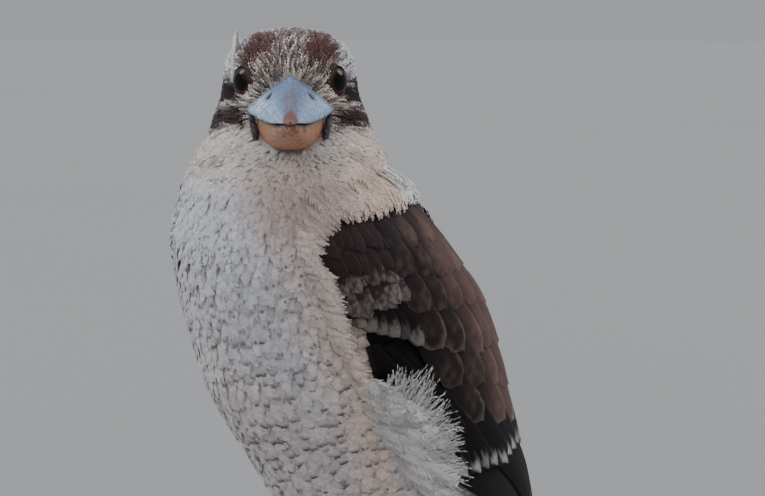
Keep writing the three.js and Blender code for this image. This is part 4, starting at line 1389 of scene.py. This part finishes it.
colour = mix(colour, NOSTRIL_SHADE, np.clip(deep * 1.5, 0, 1)[:, None])
lay = np.stack([flat_ahead, flat_aside * 1.5, flat_height * 1.5], -1)
upper_horn = mesh_piece("upper_bill_horn", points, faces, colour, lay)
upper_horn.data.materials.append(BILL_HORN)
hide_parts("bill_upper")
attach(upper_horn, "root")

forward, aside, height = bill_half(LOWER_TIP, False)
points, faces = closed_loft(head_point(forward, aside, height))
faces = faces[:, ::-1]
flat_ahead, flat_aside, flat_height = head_place(points)
mouth_here = GAPE_HEIGHT - station(BILL_PROFILE, flat_ahead)[:, 0]
drop = mouth_here - flat_height
yellow = (1 - smooth(drop, 1.0, 5.0)) * smooth(np.abs(flat_aside), 5, 10)
colour = mix(HORN_PEACH, HORN_YELLOW, yellow[:, None])
draw = np.random.RandomState(31)
in_front = np.flatnonzero((flat_ahead > 40) & (np.abs(flat_aside) < 6.5) & (drop > 1.5))
speck = np.zeros(len(points))
for spot in draw.choice(in_front, 24):
    aside_off, height_off = flat_aside - flat_aside[spot], flat_height - flat_height[spot]
    ahead_off = 0.12 * (flat_ahead - flat_ahead[spot])
    near = np.hypot(np.hypot(aside_off, height_off), ahead_off) / draw.uniform(0.35, 0.7)
    speck = np.maximum(speck, np.exp(-(near**2)))
colour = mix(colour, SPECK_BROWN, (0.9 * speck)[:, None])
colour = mix(colour, HORN_EDGE, (0.7 * (1 - smooth(drop, 0.2, 0.9)))[:, None])
under_hook = (1 - smooth(drop, 0.5, 1.9)) * smooth(flat_ahead, 44, 62) * smooth(np.abs(flat_aside), 0.6, 1.6)
colour = mix(colour, HOOK_SHADE, (0.9 * under_hook)[:, None])
lay = np.stack([flat_ahead, flat_aside * 1.5, flat_height * 1.5], -1)
lower_horn = mesh_piece("lower_bill_horn", points, faces, colour, lay)
lower_horn.data.materials.append(BILL_HORN)
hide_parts("bill_lower")
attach(lower_horn, "root")

GAPE_SKIN = horn_finish("gape_skin", grain=2.0, depth=0.3, roughness=0.6, bump=0.6)
for side, word in ((1, "left"), (-1, "right")):
    rings = []
    for part in np.linspace(0, 1, 26):
        corner_ahead = mix(FOLD_TOP[0], FOLD_FOOT[0], part)
        corner_aside = side * mix(FOLD_TOP[1], FOLD_FOOT[1], part**0.8)
        corner_height = mix(FOLD_TOP[2], FOLD_FOOT[2], part)
        swell = mix(0.4, 1.35, math.sin(math.pi * min(part * 1.1, 1)) ** 0.7)
        turn = round_steps(18)
        fold = swell * (1 + 0.10 * math.sin(part * 40))
        rings.append(
            head_point(
                corner_ahead - 1.5 + fold * 1.3 * np.cos(turn),
                corner_aside + side * fold * np.sin(turn),
                corner_height + 0 * turn,
            )
        )
    points, faces = closed_loft(rings if side > 0 else rings[::-1])
    streaky = 0.5 + 0.5 * waver(points, 2.5, 41)
    colour = mix(FOLD_DARK, FOLD_GREY, (0.7 * streaky)[:, None])
    fold_piece = mesh_piece("gape_fold_" + word, points, faces, colour, points * 2)
    fold_piece.data.materials.append(GAPE_SKIN)
    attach(fold_piece, "root")


# The wings: folded flight feathers under rows of coverts, shoulder feathers over their upper edge.
# Each feather is a thin curved vane with a raised shaft, rooted under the row above it.
VANE_STEPS = 22
VANE_STRIPS = 10
VANE_THICKNESS = 0.28
WING_BED_LEVELS = (44, 172)
# share of the full width at the root, where the vane is full, where its tip starts, how blunt it is
SMALL_VANE = (0.5, 0.45, 0.62, 0.12)
FLIGHT_VANE = (0.45, 0.35, 0.84, 0.2)
LONG_VANE = (0.4, 0.4, 0.72, 0.1)
QUILL_FINISH = plumage_finish(
    "flight_and_covert_feathers", lines=1.25, depth=0.42, roughness=0.6, bump=0.45, sheen=0.0
)


def vane_outline(part, root, full, end, tip):
    """Half the width of a vane along it, as a share: how wide at the root, where full, how blunt."""
    rise = mix(root, 1, smooth(part, 0, full))
    close = np.clip((part - end) / (1 - end), 0, 1)
    return rise * (tip + (1 - tip) * np.sqrt(np.clip(1 - close**2.2, 0, 1)))


def build_vane(middles, above, half, outline, draw, tilt=0.0, camber=0.08, follow=0.0):
    """One vane's points and triangles on both faces, with its shares across and along.

    It follows the line of middles. tilt leans it to one side, camber raises its middle, and follow
    bends its edges down round the body.
    """
    part = np.linspace(0, 1, VANE_STEPS)[:, None]
    share = np.linspace(-1, 1, VANE_STRIPS + 1)[None]
    heading = unit(np.gradient(middles, axis=0))
    beside = unit(np.cross(heading, above))
    above = np.cross(beside, heading)
    splits = np.ones((VANE_STEPS, 2))
    for edge in (0, 1):
        for split in range(draw.randint(1, 4)):
            where = draw.randint(8, VANE_STEPS - 1)
            splits[where, edge] -= draw.uniform(0.04, 0.13)
    splits += draw.normal(0, 0.012, splits.shape)
    wide = half * vane_outline(part, *outline)
    edge_share = np.where(share < 0, splits[:, :1], splits[:, 1:])
    edge_share = mix(1.0, edge_share, np.abs(share) ** 3)
    out = share * wide * edge_share
    lean_in = 0.22 * half * np.abs(share) ** 1.6 * (1 - part * 0.4)
    rise = camber * half * (1 - share**2) + tilt * out - follow * out**2
    rise = rise + 0.05 * half * draw.normal(0, 0.4) * share * part
    shaft = 0.22 * np.exp(-((out / 0.45) ** 2)) * (1 - 0.7 * part)
    step = np.linalg.norm(np.diff(middles, axis=0), axis=1).sum() / (VANE_STEPS - 1)
    tip_round = np.clip((part - outline[2]) / (1 - outline[2]), 0, 1) * lean_in
    top = middles[:, None] + beside[:, None] * out[..., None] + above[:, None] * (rise + shaft)[..., None]
    top = top - heading[:, None] * np.minimum(tip_round, step * 6)[..., None]
    thin = VANE_THICKNESS * (1 - 0.6 * np.abs(share) ** 2) * (1 - 0.5 * part)
    under = top - above[:, None] * (thin + shaft)[..., None]
    points = np.concatenate([top.reshape(-1, 3), under.reshape(-1, 3)])

    strips = VANE_STRIPS + 1
    total = VANE_STEPS * strips
    row, column = np.meshgrid(np.arange(VANE_STEPS - 1), np.arange(VANE_STRIPS), indexing="ij")
    low = (row * strips + column).ravel()
    low_next, high_next, high = low + 1, low + strips + 1, low + strips
    faces = [np.stack([low, low_next, high_next], -1), np.stack([low, high_next, high], -1)]
    faces += [np.stack([low, high_next, low_next], -1) + total]
    faces += [np.stack([low, high, high_next], -1) + total]
    rim = np.concatenate([
        np.arange(strips),
        np.arange(1, VANE_STEPS) * strips + VANE_STRIPS,
        (VANE_STEPS - 1) * strips + np.arange(VANE_STRIPS - 1, -1, -1),
        np.arange(VANE_STEPS - 2, 0, -1) * strips,
    ])
    after = np.roll(rim, -1)
    faces += [np.stack([rim, rim + total, after + total], -1)]
    faces += [np.stack([rim, after + total, after], -1)]
    across = np.tile(np.broadcast_to(share, top.shape[:2]).ravel(), 2)
    along = np.tile(np.broadcast_to(part, top.shape[:2]).ravel(), 2)
    return points, np.concatenate(faces), across, along


def dressed_vane(middles, above, half, long, outline, paint, draw, turned=1, **bend):
    """One painted vane; turned is -1 where it is painted as its mirror image."""
    points, faces, across, along = build_vane(middles, above, half, outline, draw, **bend)
    tint = paint(across * turned, along, points, draw)
    lay = np.stack([across * half, along * long], -1)
    return {"skin": (points, faces), "tint": tint, "across": across, "along": along, "lay": lay}


def join_vanes(name, vanes, replaced=()):
    """One piece of many vanes, each with its own place on the colour chart for both of its faces."""
    columns = math.ceil(math.sqrt(len(vanes)))
    lay, chart = [], []
    for index, vane in enumerate(vanes):
        across, along = vane["across"], vane["along"]
        number = np.full((len(across), 1), index * 7.3)
        lay.append(np.concatenate([vane["lay"], number], -1))
        under = np.repeat([0, 1], len(across) // 2)
        left = (index % columns + 0.04 + 0.48 * under) / columns
        foot = (index // columns + 0.04) / columns
        place_across = left + 0.44 * (across + 1) / 2 / columns
        chart.append(np.stack([place_across, foot + 0.92 * along / columns], -1))
    points, faces = gather([vane["skin"] for vane in vanes])
    tints = np.clip(np.concatenate([vane["tint"] for vane in vanes]), 0, 1)
    piece = mesh_piece(name, points, faces, tints, np.concatenate(lay), np.concatenate(chart))
    piece.data.materials.append(QUILL_FINISH)
    if replaced:
        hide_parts(*replaced)
    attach(piece, "root")


WING_DARK = srgb(50, 38, 40)
WING_BLACK = srgb(19, 13, 17)
WING_BROWN = srgb(102, 78, 74)
WING_FRINGE = srgb(132, 112, 104)
COVERT_PALE = srgb(134, 124, 119)
QUILL_WHITE = srgb(214, 212, 210)


def paint_small_covert(across, along, points, draw):
    """Dark small coverts with faintly browner edges."""
    tone = draw.uniform(0.8, 1.2)
    colour = np.broadcast_to(WING_DARK * tone, (len(across), 3))
    fringe = smooth(np.abs(across), 0.7, 1.0) * smooth(along, 0.55, 0.9) + smooth(along, 0.93, 1.0)
    return mix(colour, WING_BROWN, (0.22 * np.clip(fringe, 0, 1))[:, None])


def paint_mottled_covert(across, along, points, draw):
    """Dark coverts with mottled greyish ends."""
    tone = draw.uniform(0.85, 1.15)
    colour = np.broadcast_to(WING_DARK * tone, (len(across), 3))
    spread = draw.uniform(0.55, 0.72)
    pale = smooth(along + 0.10 * waver(points, 3.5, 51), spread, spread + 0.22)
    pale = pale * (1 - 0.6 * smooth(np.abs(across), 0.7, 1))
    mottle = smooth(waver(points, 2.4, 52), 0.0, 0.8)
    shaft = np.exp(-((across / 0.10) ** 2))
    pale = pale * (1 - 0.75 * mottle) * (1 - 0.5 * shaft) * draw.uniform(0.45, 1.0)
    return mix(colour, COVERT_PALE * draw.uniform(0.8, 1.15), (0.9 * pale)[:, None])


def paint_tipped_covert(across, along, points, draw):
    """Black coverts with pale tips, some worn."""
    colour = np.broadcast_to(WING_BLACK * draw.uniform(1.1, 1.5), (len(across), 3))
    pale = smooth(along + 0.05 * waver(points, 3, 53), 0.70, 0.88)
    pale = pale * (1 - 0.7 * smooth(np.abs(across), 0.55, 1)) * draw.uniform(0.3, 1.0)
    return mix(colour, COVERT_PALE * draw.uniform(0.9, 1.25), (0.9 * pale)[:, None])


def paint_flight(across, along, points, draw):
    """Black flight feathers with brown edges, some with a white streak at the tip."""
    colour = np.broadcast_to(WING_BLACK * draw.uniform(0.75, 1.1), (len(across), 3))
    colour = mix(colour, WING_BROWN * 0.7, (0.35 * smooth(across, 0.4, 1.0))[:, None])
    streak = 1 - smooth(np.abs(across - draw.uniform(-0.15, 0.25)), draw.uniform(0.1, 0.3), 0.55)
    white = streak * smooth(along + 0.02 * waver(points, 2, 55), 0.90, 0.945) * draw.uniform(0.4, 1.0)
    return mix(colour, QUILL_WHITE, (0.85 * white)[:, None])


def paint_primary(across, along, points, draw):
    """The blackest feathers, with a thin pale end."""
    colour = np.broadcast_to(WING_BLACK * draw.uniform(0.6, 0.8), (len(across), 3))
    return mix(colour, QUILL_WHITE, (0.6 * smooth(along, 0.985, 1.0))[:, None])


def paint_scapular(across, along, points, draw):
    """Brown-black shoulder feathers, browner toward the back, with pale worn edges."""
    bearing = wing_bearing(points)
    browner = smooth(bearing + 7 * waver(points, 24, 59) + draw.normal(0, 4), 88, 122)
    colour = mix(WING_DARK * 0.72, WING_BROWN * 1.05, browner[:, None]) * draw.uniform(0.85, 1.12)
    colour = mix(colour, WING_BLACK, (0.45 * smooth(along, 0.9, 0.3))[:, None])
    cloud = smooth(waver(points, 5, 54), -0.3, 0.9) * smooth(along, 0.55, 0.85)
    colour = mix(colour, WING_FRINGE, (0.22 * cloud)[:, None])
    fringe = smooth(np.abs(across) + 0.08 * waver(points, 3, 56), 0.70, 1.0) * smooth(along, 0.55, 0.9)
    fringe = np.clip(fringe + smooth(along, 0.92, 0.99), 0, 1) * smooth(-points[:, 2], -170, -125)
    fringe_tone = draw.uniform(0.8, 1.25)
    worn = draw.uniform(0.25, 1.0)
    return mix(colour, WING_FRINGE * fringe_tone, (0.8 * worn * fringe)[:, None])


def paint_tertial(across, along, points, draw):
    """Like the shoulder feathers, with a little white at the end."""
    colour = paint_scapular(across, along, points, draw)
    end = smooth(along + 0.02 * waver(points, 2, 57), 0.95, 0.985) * draw.uniform(0.1, 0.6)
    return mix(colour, QUILL_WHITE, (0.8 * end)[:, None])


WING_SEED = 600
# title, count, root levels, tip levels, root bearings, tip bearings,
#     half width, lift at root and tip, outline, paint
WING_ROWS = (
    ("primaries", 8, (114, 108), (52, 40), (82, 136), (132, 169),
     4.6, (-1.4, 0.2), FLIGHT_VANE, paint_primary),
    ("secondaries", 13, (132, 124), (75, 81), (61, 128), (76, 150),
     6.2, (-1.2, 1.2), FLIGHT_VANE, paint_flight),
    ("greater_coverts", 7, (154, 152), (139, 130), (58, 80), (60, 81),
     3.7, (-0.6, 1.7), SMALL_VANE, paint_tipped_covert),
    ("median_coverts", 7, (163, 168), (143, 147), (57, 80), (59, 80),
     3.8, (-0.4, 2.0), SMALL_VANE, paint_mottled_covert),
    ("small_median_coverts", 7, (168, 172), (151, 156), (55, 80), (58, 81),
     3.5, (-0.4, 2.1), SMALL_VANE, paint_mottled_covert),
    ("lower_lesser_coverts", 12, (177, 178), (157, 161), (54, 84), (56, 85),
     2.5, (-0.4, 2.4), SMALL_VANE, paint_small_covert),
    ("upper_lesser_coverts", 12, (181, 183), (165, 168), (58, 86), (56, 86),
     2.5, (-0.6, 2.4), SMALL_VANE, paint_small_covert),
    ("tertials", 5, (134, 126), (97, 84), (84, 134), (98, 160),
     6.8, (-0.2, 1.8), LONG_VANE, paint_tertial),
    ("low_scapulars", 7, (146, 140), (112, 100), (82, 140), (90, 163),
     6.6, (0.0, 2.2), LONG_VANE, paint_scapular),
    ("middle_scapulars", 8, (160, 154), (128, 118), (82, 140), (86, 160),
     6.2, (0.2, 2.5), LONG_VANE, paint_scapular),
    ("high_scapulars", 8, (172, 168), (143, 136), (82, 138), (85, 156),
     5.8, (0.2, 2.7), LONG_VANE, paint_scapular),
    ("top_scapulars", 8, (181, 178), (157, 152), (82, 138), (85, 152),
     5.4, (0.0, 2.8), LONG_VANE, paint_scapular),
    ("shoulder_scapulars", 8, (184, 182), (167, 163), (84, 138), (86, 148),
     4.8, (-1.8, 2.5), LONG_VANE, paint_scapular),
)


def wing_bed(side):
    """The wing's own arm and web under the feathers: a thin dark shell between its outlines."""
    heights = np.linspace(*WING_BED_LEVELS, 40)
    front, rear = station(WING_OUTLINE, heights).T
    share = np.linspace(0, 1, 30)[None]
    bearing = mix(front[:, None] + 4, rear[:, None] - 3, share)
    level = np.broadcast_to(heights[:, None], bearing.shape)
    edge = np.minimum(share, 1 - share) * 2
    lift = -1.1 - 0.6 * (1 - smooth(edge, 0, 0.25))
    top = shell_point(level, bearing, lift, side)
    under = shell_point(level, bearing, lift - 0.8, side)
    rings = np.concatenate([top, under[:, ::-1]], 1)
    points, faces = closed_loft(rings)
    return points, faces if side < 0 else faces[:, ::-1]


for side, word in ((1, "left"), (-1, "right")):
    points, faces = wing_bed(side)
    bed_tint = WING_BLACK * (1 + 0.2 * waver(points, 6, 58))[:, None]
    bed = mesh_piece("wing_bed_" + word, points, faces, bed_tint, points)
    bed.data.materials.append(DOWN_FINISH)
    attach(bed, "root")
    shown = {"flight": [], "covert": []}
    for order, row in enumerate(WING_ROWS):
        title, count, root_z, tip_z, root_a, tip_a, half, lift, outline, paint = row
        draw = np.random.RandomState(WING_SEED + order)
        for index in range(count):
            share = index / (count - 1)
            jitter = draw.normal(0, 1, 4)
            part = np.linspace(0, 1, VANE_STEPS)
            height = mix(mix(*root_z, share) + 0.5 * jitter[0], mix(*tip_z, share) + 0.9 * jitter[1], part)
            bearing = mix(mix(*root_a, share), mix(*tip_a, share) + 0.8 * jitter[2], part)
            bearing = bearing - 2.0 * np.sin(math.pi * part)
            raised = mix(lift[0], lift[1], part**0.7) + 0.12 * jitter[3]
            raised = raised + 0.35 * (index % 2) * part
            middles = shell_point(height, bearing, raised, side)
            above = shell_out(height, bearing, side)
            long = np.linalg.norm(np.diff(middles, axis=0), axis=1).sum()
            wide = half * draw.uniform(0.93, 1.07)
            group = "flight" if title in ("primaries", "secondaries", "tertials") else "covert"
            shown[group].append(dressed_vane(
                middles, above, wide, long, outline, paint, draw, turned=side,
                tilt=-0.10 * side, camber=0.06, follow=0.009,
            ))
    join_vanes("wing_quills_" + word, shown["flight"], ["wing_" + word])
    join_vanes("wing_coverts_" + word, shown["covert"])


# The tail: twelve long feathers in six pairs, rufous with black bars and white ends, closed to a
# narrow fan whose end lies on the floor, with soft coverts over and under its root.
TAIL_ROOT = np.array((0, 92, 56))
TAIL_SLOPE = math.radians(24.9)
TAIL_LENGTH = 147
TAIL_PAIRS = 6
TAIL_HALF_WIDTH = 8.6
TAIL_VANE = (0.3, 0.4, 0.9, 0.25)
TAIL_COVERTS = 9
TAIL_COVERT_HALF_WIDTH = 5.4
TAIL_SEED = 700
TAIL_COVERT_SEED = 740
ACROSS = np.array((1.0, 0, 0))
TAIL_RUFOUS = srgb(156, 104, 74)
TAIL_BLACK = srgb(34, 27, 28)


def tail_middle(run):
    """The tail's middle line: straight down and back, then bent level where it meets the floor."""
    flare = np.maximum(0, run - 0.72 * TAIL_LENGTH)
    return np.stack(
        [
            0 * run,
            TAIL_ROOT[1] + run * math.cos(TAIL_SLOPE) + 0.06 * flare,
            TAIL_ROOT[2] - run * math.sin(TAIL_SLOPE) + 0.0045 * flare**2,
        ],
        -1,
    )


def tail_above(middles):
    """The way up across the tail along its middle line."""
    return unit(np.cross(ACROSS, unit(np.gradient(middles, axis=0))))


def paint_tail(middle_pair):
    """Colours for a tail feather; the middle pair is a little more rufous."""
    def paint(across, along, points, draw):
        wave = along * 46 + 0.5 * waver(points, 9, 61) + 1.2 * np.abs(across)
        bars = smooth(np.sin(wave), -0.15, 0.25)
        colour = mix(TAIL_RUFOUS, TAIL_BLACK, (bars * 0.95)[:, None])
        if middle_pair:
            colour = mix(colour, TAIL_RUFOUS, (0.25 * (1 - bars))[:, None])
        white_end = smooth(along + 0.008 * waver(points, 3, 62), 0.925, 0.94)
        return mix(colour, QUILL_WHITE, white_end[:, None])

    return paint


def paint_tail_covert(across, along, points, draw):
    """Rufous and barred on top of the tail's root, off-white under it."""
    pale = QUILL_WHITE * draw.uniform(0.85, 0.95)
    rufous = mix(TAIL_RUFOUS, RUMP_BUFF, 0.5)
    over = points[:, 2] > tail_middle(points[:, 1] - TAIL_ROOT[1])[:, 2]
    colour = np.where(over[:, None], rufous, pale)
    bars = smooth(np.sin(along * 22 + draw.uniform(0, 2)), 0.35, 0.7) * np.where(over, 0.75, 0.18)
    return mix(colour, TAIL_BLACK, bars[:, None])


tail_vanes = []
for pair in range(TAIL_PAIRS):
    for side in (1, -1):
        draw = np.random.RandomState(TAIL_SEED + pair * 2 + side)
        length = TAIL_LENGTH - 3.6 * pair
        run = np.linspace(8, length, VANE_STEPS)
        part = np.linspace(0, 1, VANE_STEPS)
        aside = side * mix(1.2 + 1.3 * pair, 4 + 2.9 * pair, part)
        lift = 1.2 - 0.95 * (pair + (0.5 if side < 0 else 0))
        above = tail_above(tail_middle(run))
        middles = tail_middle(run) + above * lift + ACROSS * aside[:, None]
        tail_vanes.append(dressed_vane(
            middles, above, TAIL_HALF_WIDTH, length, TAIL_VANE, paint_tail(pair == 0), draw,
            tilt=0.03 * side, camber=0.05,
        ))
for under, long in ((False, 50), (True, 58)):
    for index in range(TAIL_COVERTS):
        draw = np.random.RandomState(TAIL_COVERT_SEED + index + 20 * under)
        share = (index + 0.5) / TAIL_COVERTS * 2 - 1
        level = -1 if under else 1
        run = np.linspace(0, long * (1 - 0.25 * abs(share)) * draw.uniform(0.9, 1.05), VANE_STEPS)
        part = np.linspace(0, 1, VANE_STEPS)
        above = tail_above(tail_middle(run)) * level
        root_gap, least_gap = (6.5, 3.4) if under else (2.6, 1.6)
        gap = root_gap * (1 - 0.55 * part) * (1 - 0.3 * abs(share)) + least_gap
        aside = share * mix(7, 12, part)
        middles = tail_middle(run) + above * gap[:, None] + ACROSS * aside[:, None]
        tail_vanes.append(dressed_vane(
            middles, above, TAIL_COVERT_HALF_WIDTH, long, SMALL_VANE, paint_tail_covert, draw,
            camber=0.12, follow=0.01,
        ))
join_vanes("tail_quills", tail_vanes, ["tail"])


# The feet: short grey-brown shanks and toes with plated, scaly skin, rooted in the feathered thighs.
# Three toes lie ahead and one behind, flat on the floor, each with a dark curved claw of horn.
SHANK_TOP = 30.65
SHANK_FOOT = 4.4
SHANK_PLATE = 0.18
SHANK_PLATE_LENGTH = 2.1
# level and radius of the shank
SHANK = ((SHANK_TOP, 3.9), (27, 3.3), (22, 2.9), (15, 2.8), (9, 3.2), (4.6, 3.9))
FOOT_MIDDLE = np.array((22, 31, 4.6))
# angle from straight ahead, length and radius of each toe
TOES = ((-24, 17, 3.1), (4, 25, 3.4), (17, 22, 3.2), (172, 14, 3.1))
TOE_END = 2.5
TOE_PLATE = 0.13
TOE_PLATE_LENGTH = 1.5
CLAW_LENGTH = 8
CLAW_RADII = (1.45, 0.22)
UPWARD = (0, 0, 1)
FOOT_GREY = srgb(108, 98, 90)
FOOT_DARK = srgb(62, 55, 52)
CLAW_GREY = srgb(52, 46, 44)
CLAW_BLACK = srgb(28, 24, 24)
SCALY_SKIN = horn_finish("foot_scales", grain=1.4, depth=0.22, roughness=0.55, bump=0.5)
CLAW_HORN = horn_finish("claw_horn", grain=1.4, depth=0.2, roughness=0.35, bump=0.3, coat=0.2)


def toe_ways(side, angle):
    """The way a toe points and the way across it, both level."""
    way = np.array((math.sin(math.radians(angle)) * side, -math.cos(math.radians(angle)), 0))
    return way, np.array((-way[1], way[0], 0))


def toe_tube(side, angle, length, thick):
    """One toe as a closed skin, with joints swollen and a row of plates over its back."""
    turn = round_steps(32)
    way, across = toe_ways(side, angle)
    rings = []
    for part in np.linspace(-0.12, 1, 54):
        reach = part * length
        radius = mix(thick, TOE_END, max(part, 0)) * (1 + 0.06 * math.cos(part * 12.5))
        radius *= math.sqrt(max(1 - max(part - 0.93, 0) ** 2 / 0.0055, 0.12))
        middle = FOOT_MIDDLE * (side, 1, 1) + way * reach
        middle[2] = mix(3.6, 2.3, np.clip(part, 0, 1))
        plate = TOE_PLATE * abs(math.sin(part * length / TOE_PLATE_LENGTH * math.pi)) ** 0.5
        over = np.clip(np.sin(turn), 0, 1) ** 0.5
        size = radius + plate * over - TOE_PLATE
        ring = middle + np.outer(np.cos(turn) * size, across) + np.outer(np.sin(turn) * size, UPWARD)
        ring[:, 2] = np.maximum(ring[:, 2], 0.02)
        rings.append(ring)
    return closed_loft(rings)


for side, word in ((1, "left"), (-1, "right")):
    turn = round_steps(48)
    rings = []
    for part in np.linspace(0, 1, 60):
        level = mix(SHANK_TOP, SHANK_FOOT, part)
        radius = np.interp(-level, [-row[0] for row in SHANK], [row[1] for row in SHANK])
        middle = mix(ANKLE, FOOT_MIDDLE, part) * (side, 1, 1)
        middle[2] = level
        plate = SHANK_PLATE * abs(math.sin((SHANK_TOP - level) / SHANK_PLATE_LENGTH * math.pi)) ** 0.5
        size = radius - SHANK_PLATE + plate * np.clip(-np.sin(turn), 0, 1) ** 0.4
        rings.append(middle + np.stack([np.cos(turn) * size, np.sin(turn) * size, 0 * turn], -1))
    parts = [closed_loft(rings[::-1])]
    parts += [toe_tube(side, *toe) for toe in TOES]
    points, faces = gather(parts)
    tint = mix(FOOT_GREY, FOOT_DARK, (0.5 + 0.5 * waver(points, 5, 71))[:, None])
    foot = mesh_piece("foot_scales_" + word, points, faces, tint, points)
    foot.data.materials.append(SCALY_SKIN)
    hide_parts("foot_" + word)
    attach(foot, "root")
    for number, (angle, length, thick) in enumerate(TOES, 1):
        way, across = toe_ways(side, angle)
        turn = round_steps(20)
        rings = []
        for part in np.linspace(0, 1, 24):
            middle = FOOT_MIDDLE * (side, 1, 1) + way * (length + 0.6 + CLAW_LENGTH * part * 0.93)
            middle[2] = 2.6 + 1.3 * math.sin(2.4 * part) - 1.9 * part**2
            radius = mix(*CLAW_RADII, part**1.1)
            ring = middle + np.outer(np.cos(turn) * radius * 0.8, across)
            rings.append(ring + np.outer(np.sin(turn) * radius, UPWARD))
        points, faces = closed_loft(rings)
        tint = mix(CLAW_GREY, CLAW_BLACK, np.linspace(0, 1, len(points))[:, None])
        claw = mesh_piece(f"claw_{word}_{number}_horn", points, faces, tint, points)
        claw.data.materials.append(CLAW_HORN)
        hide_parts(f"claw_{word}_{number}")
        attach(claw, "root")
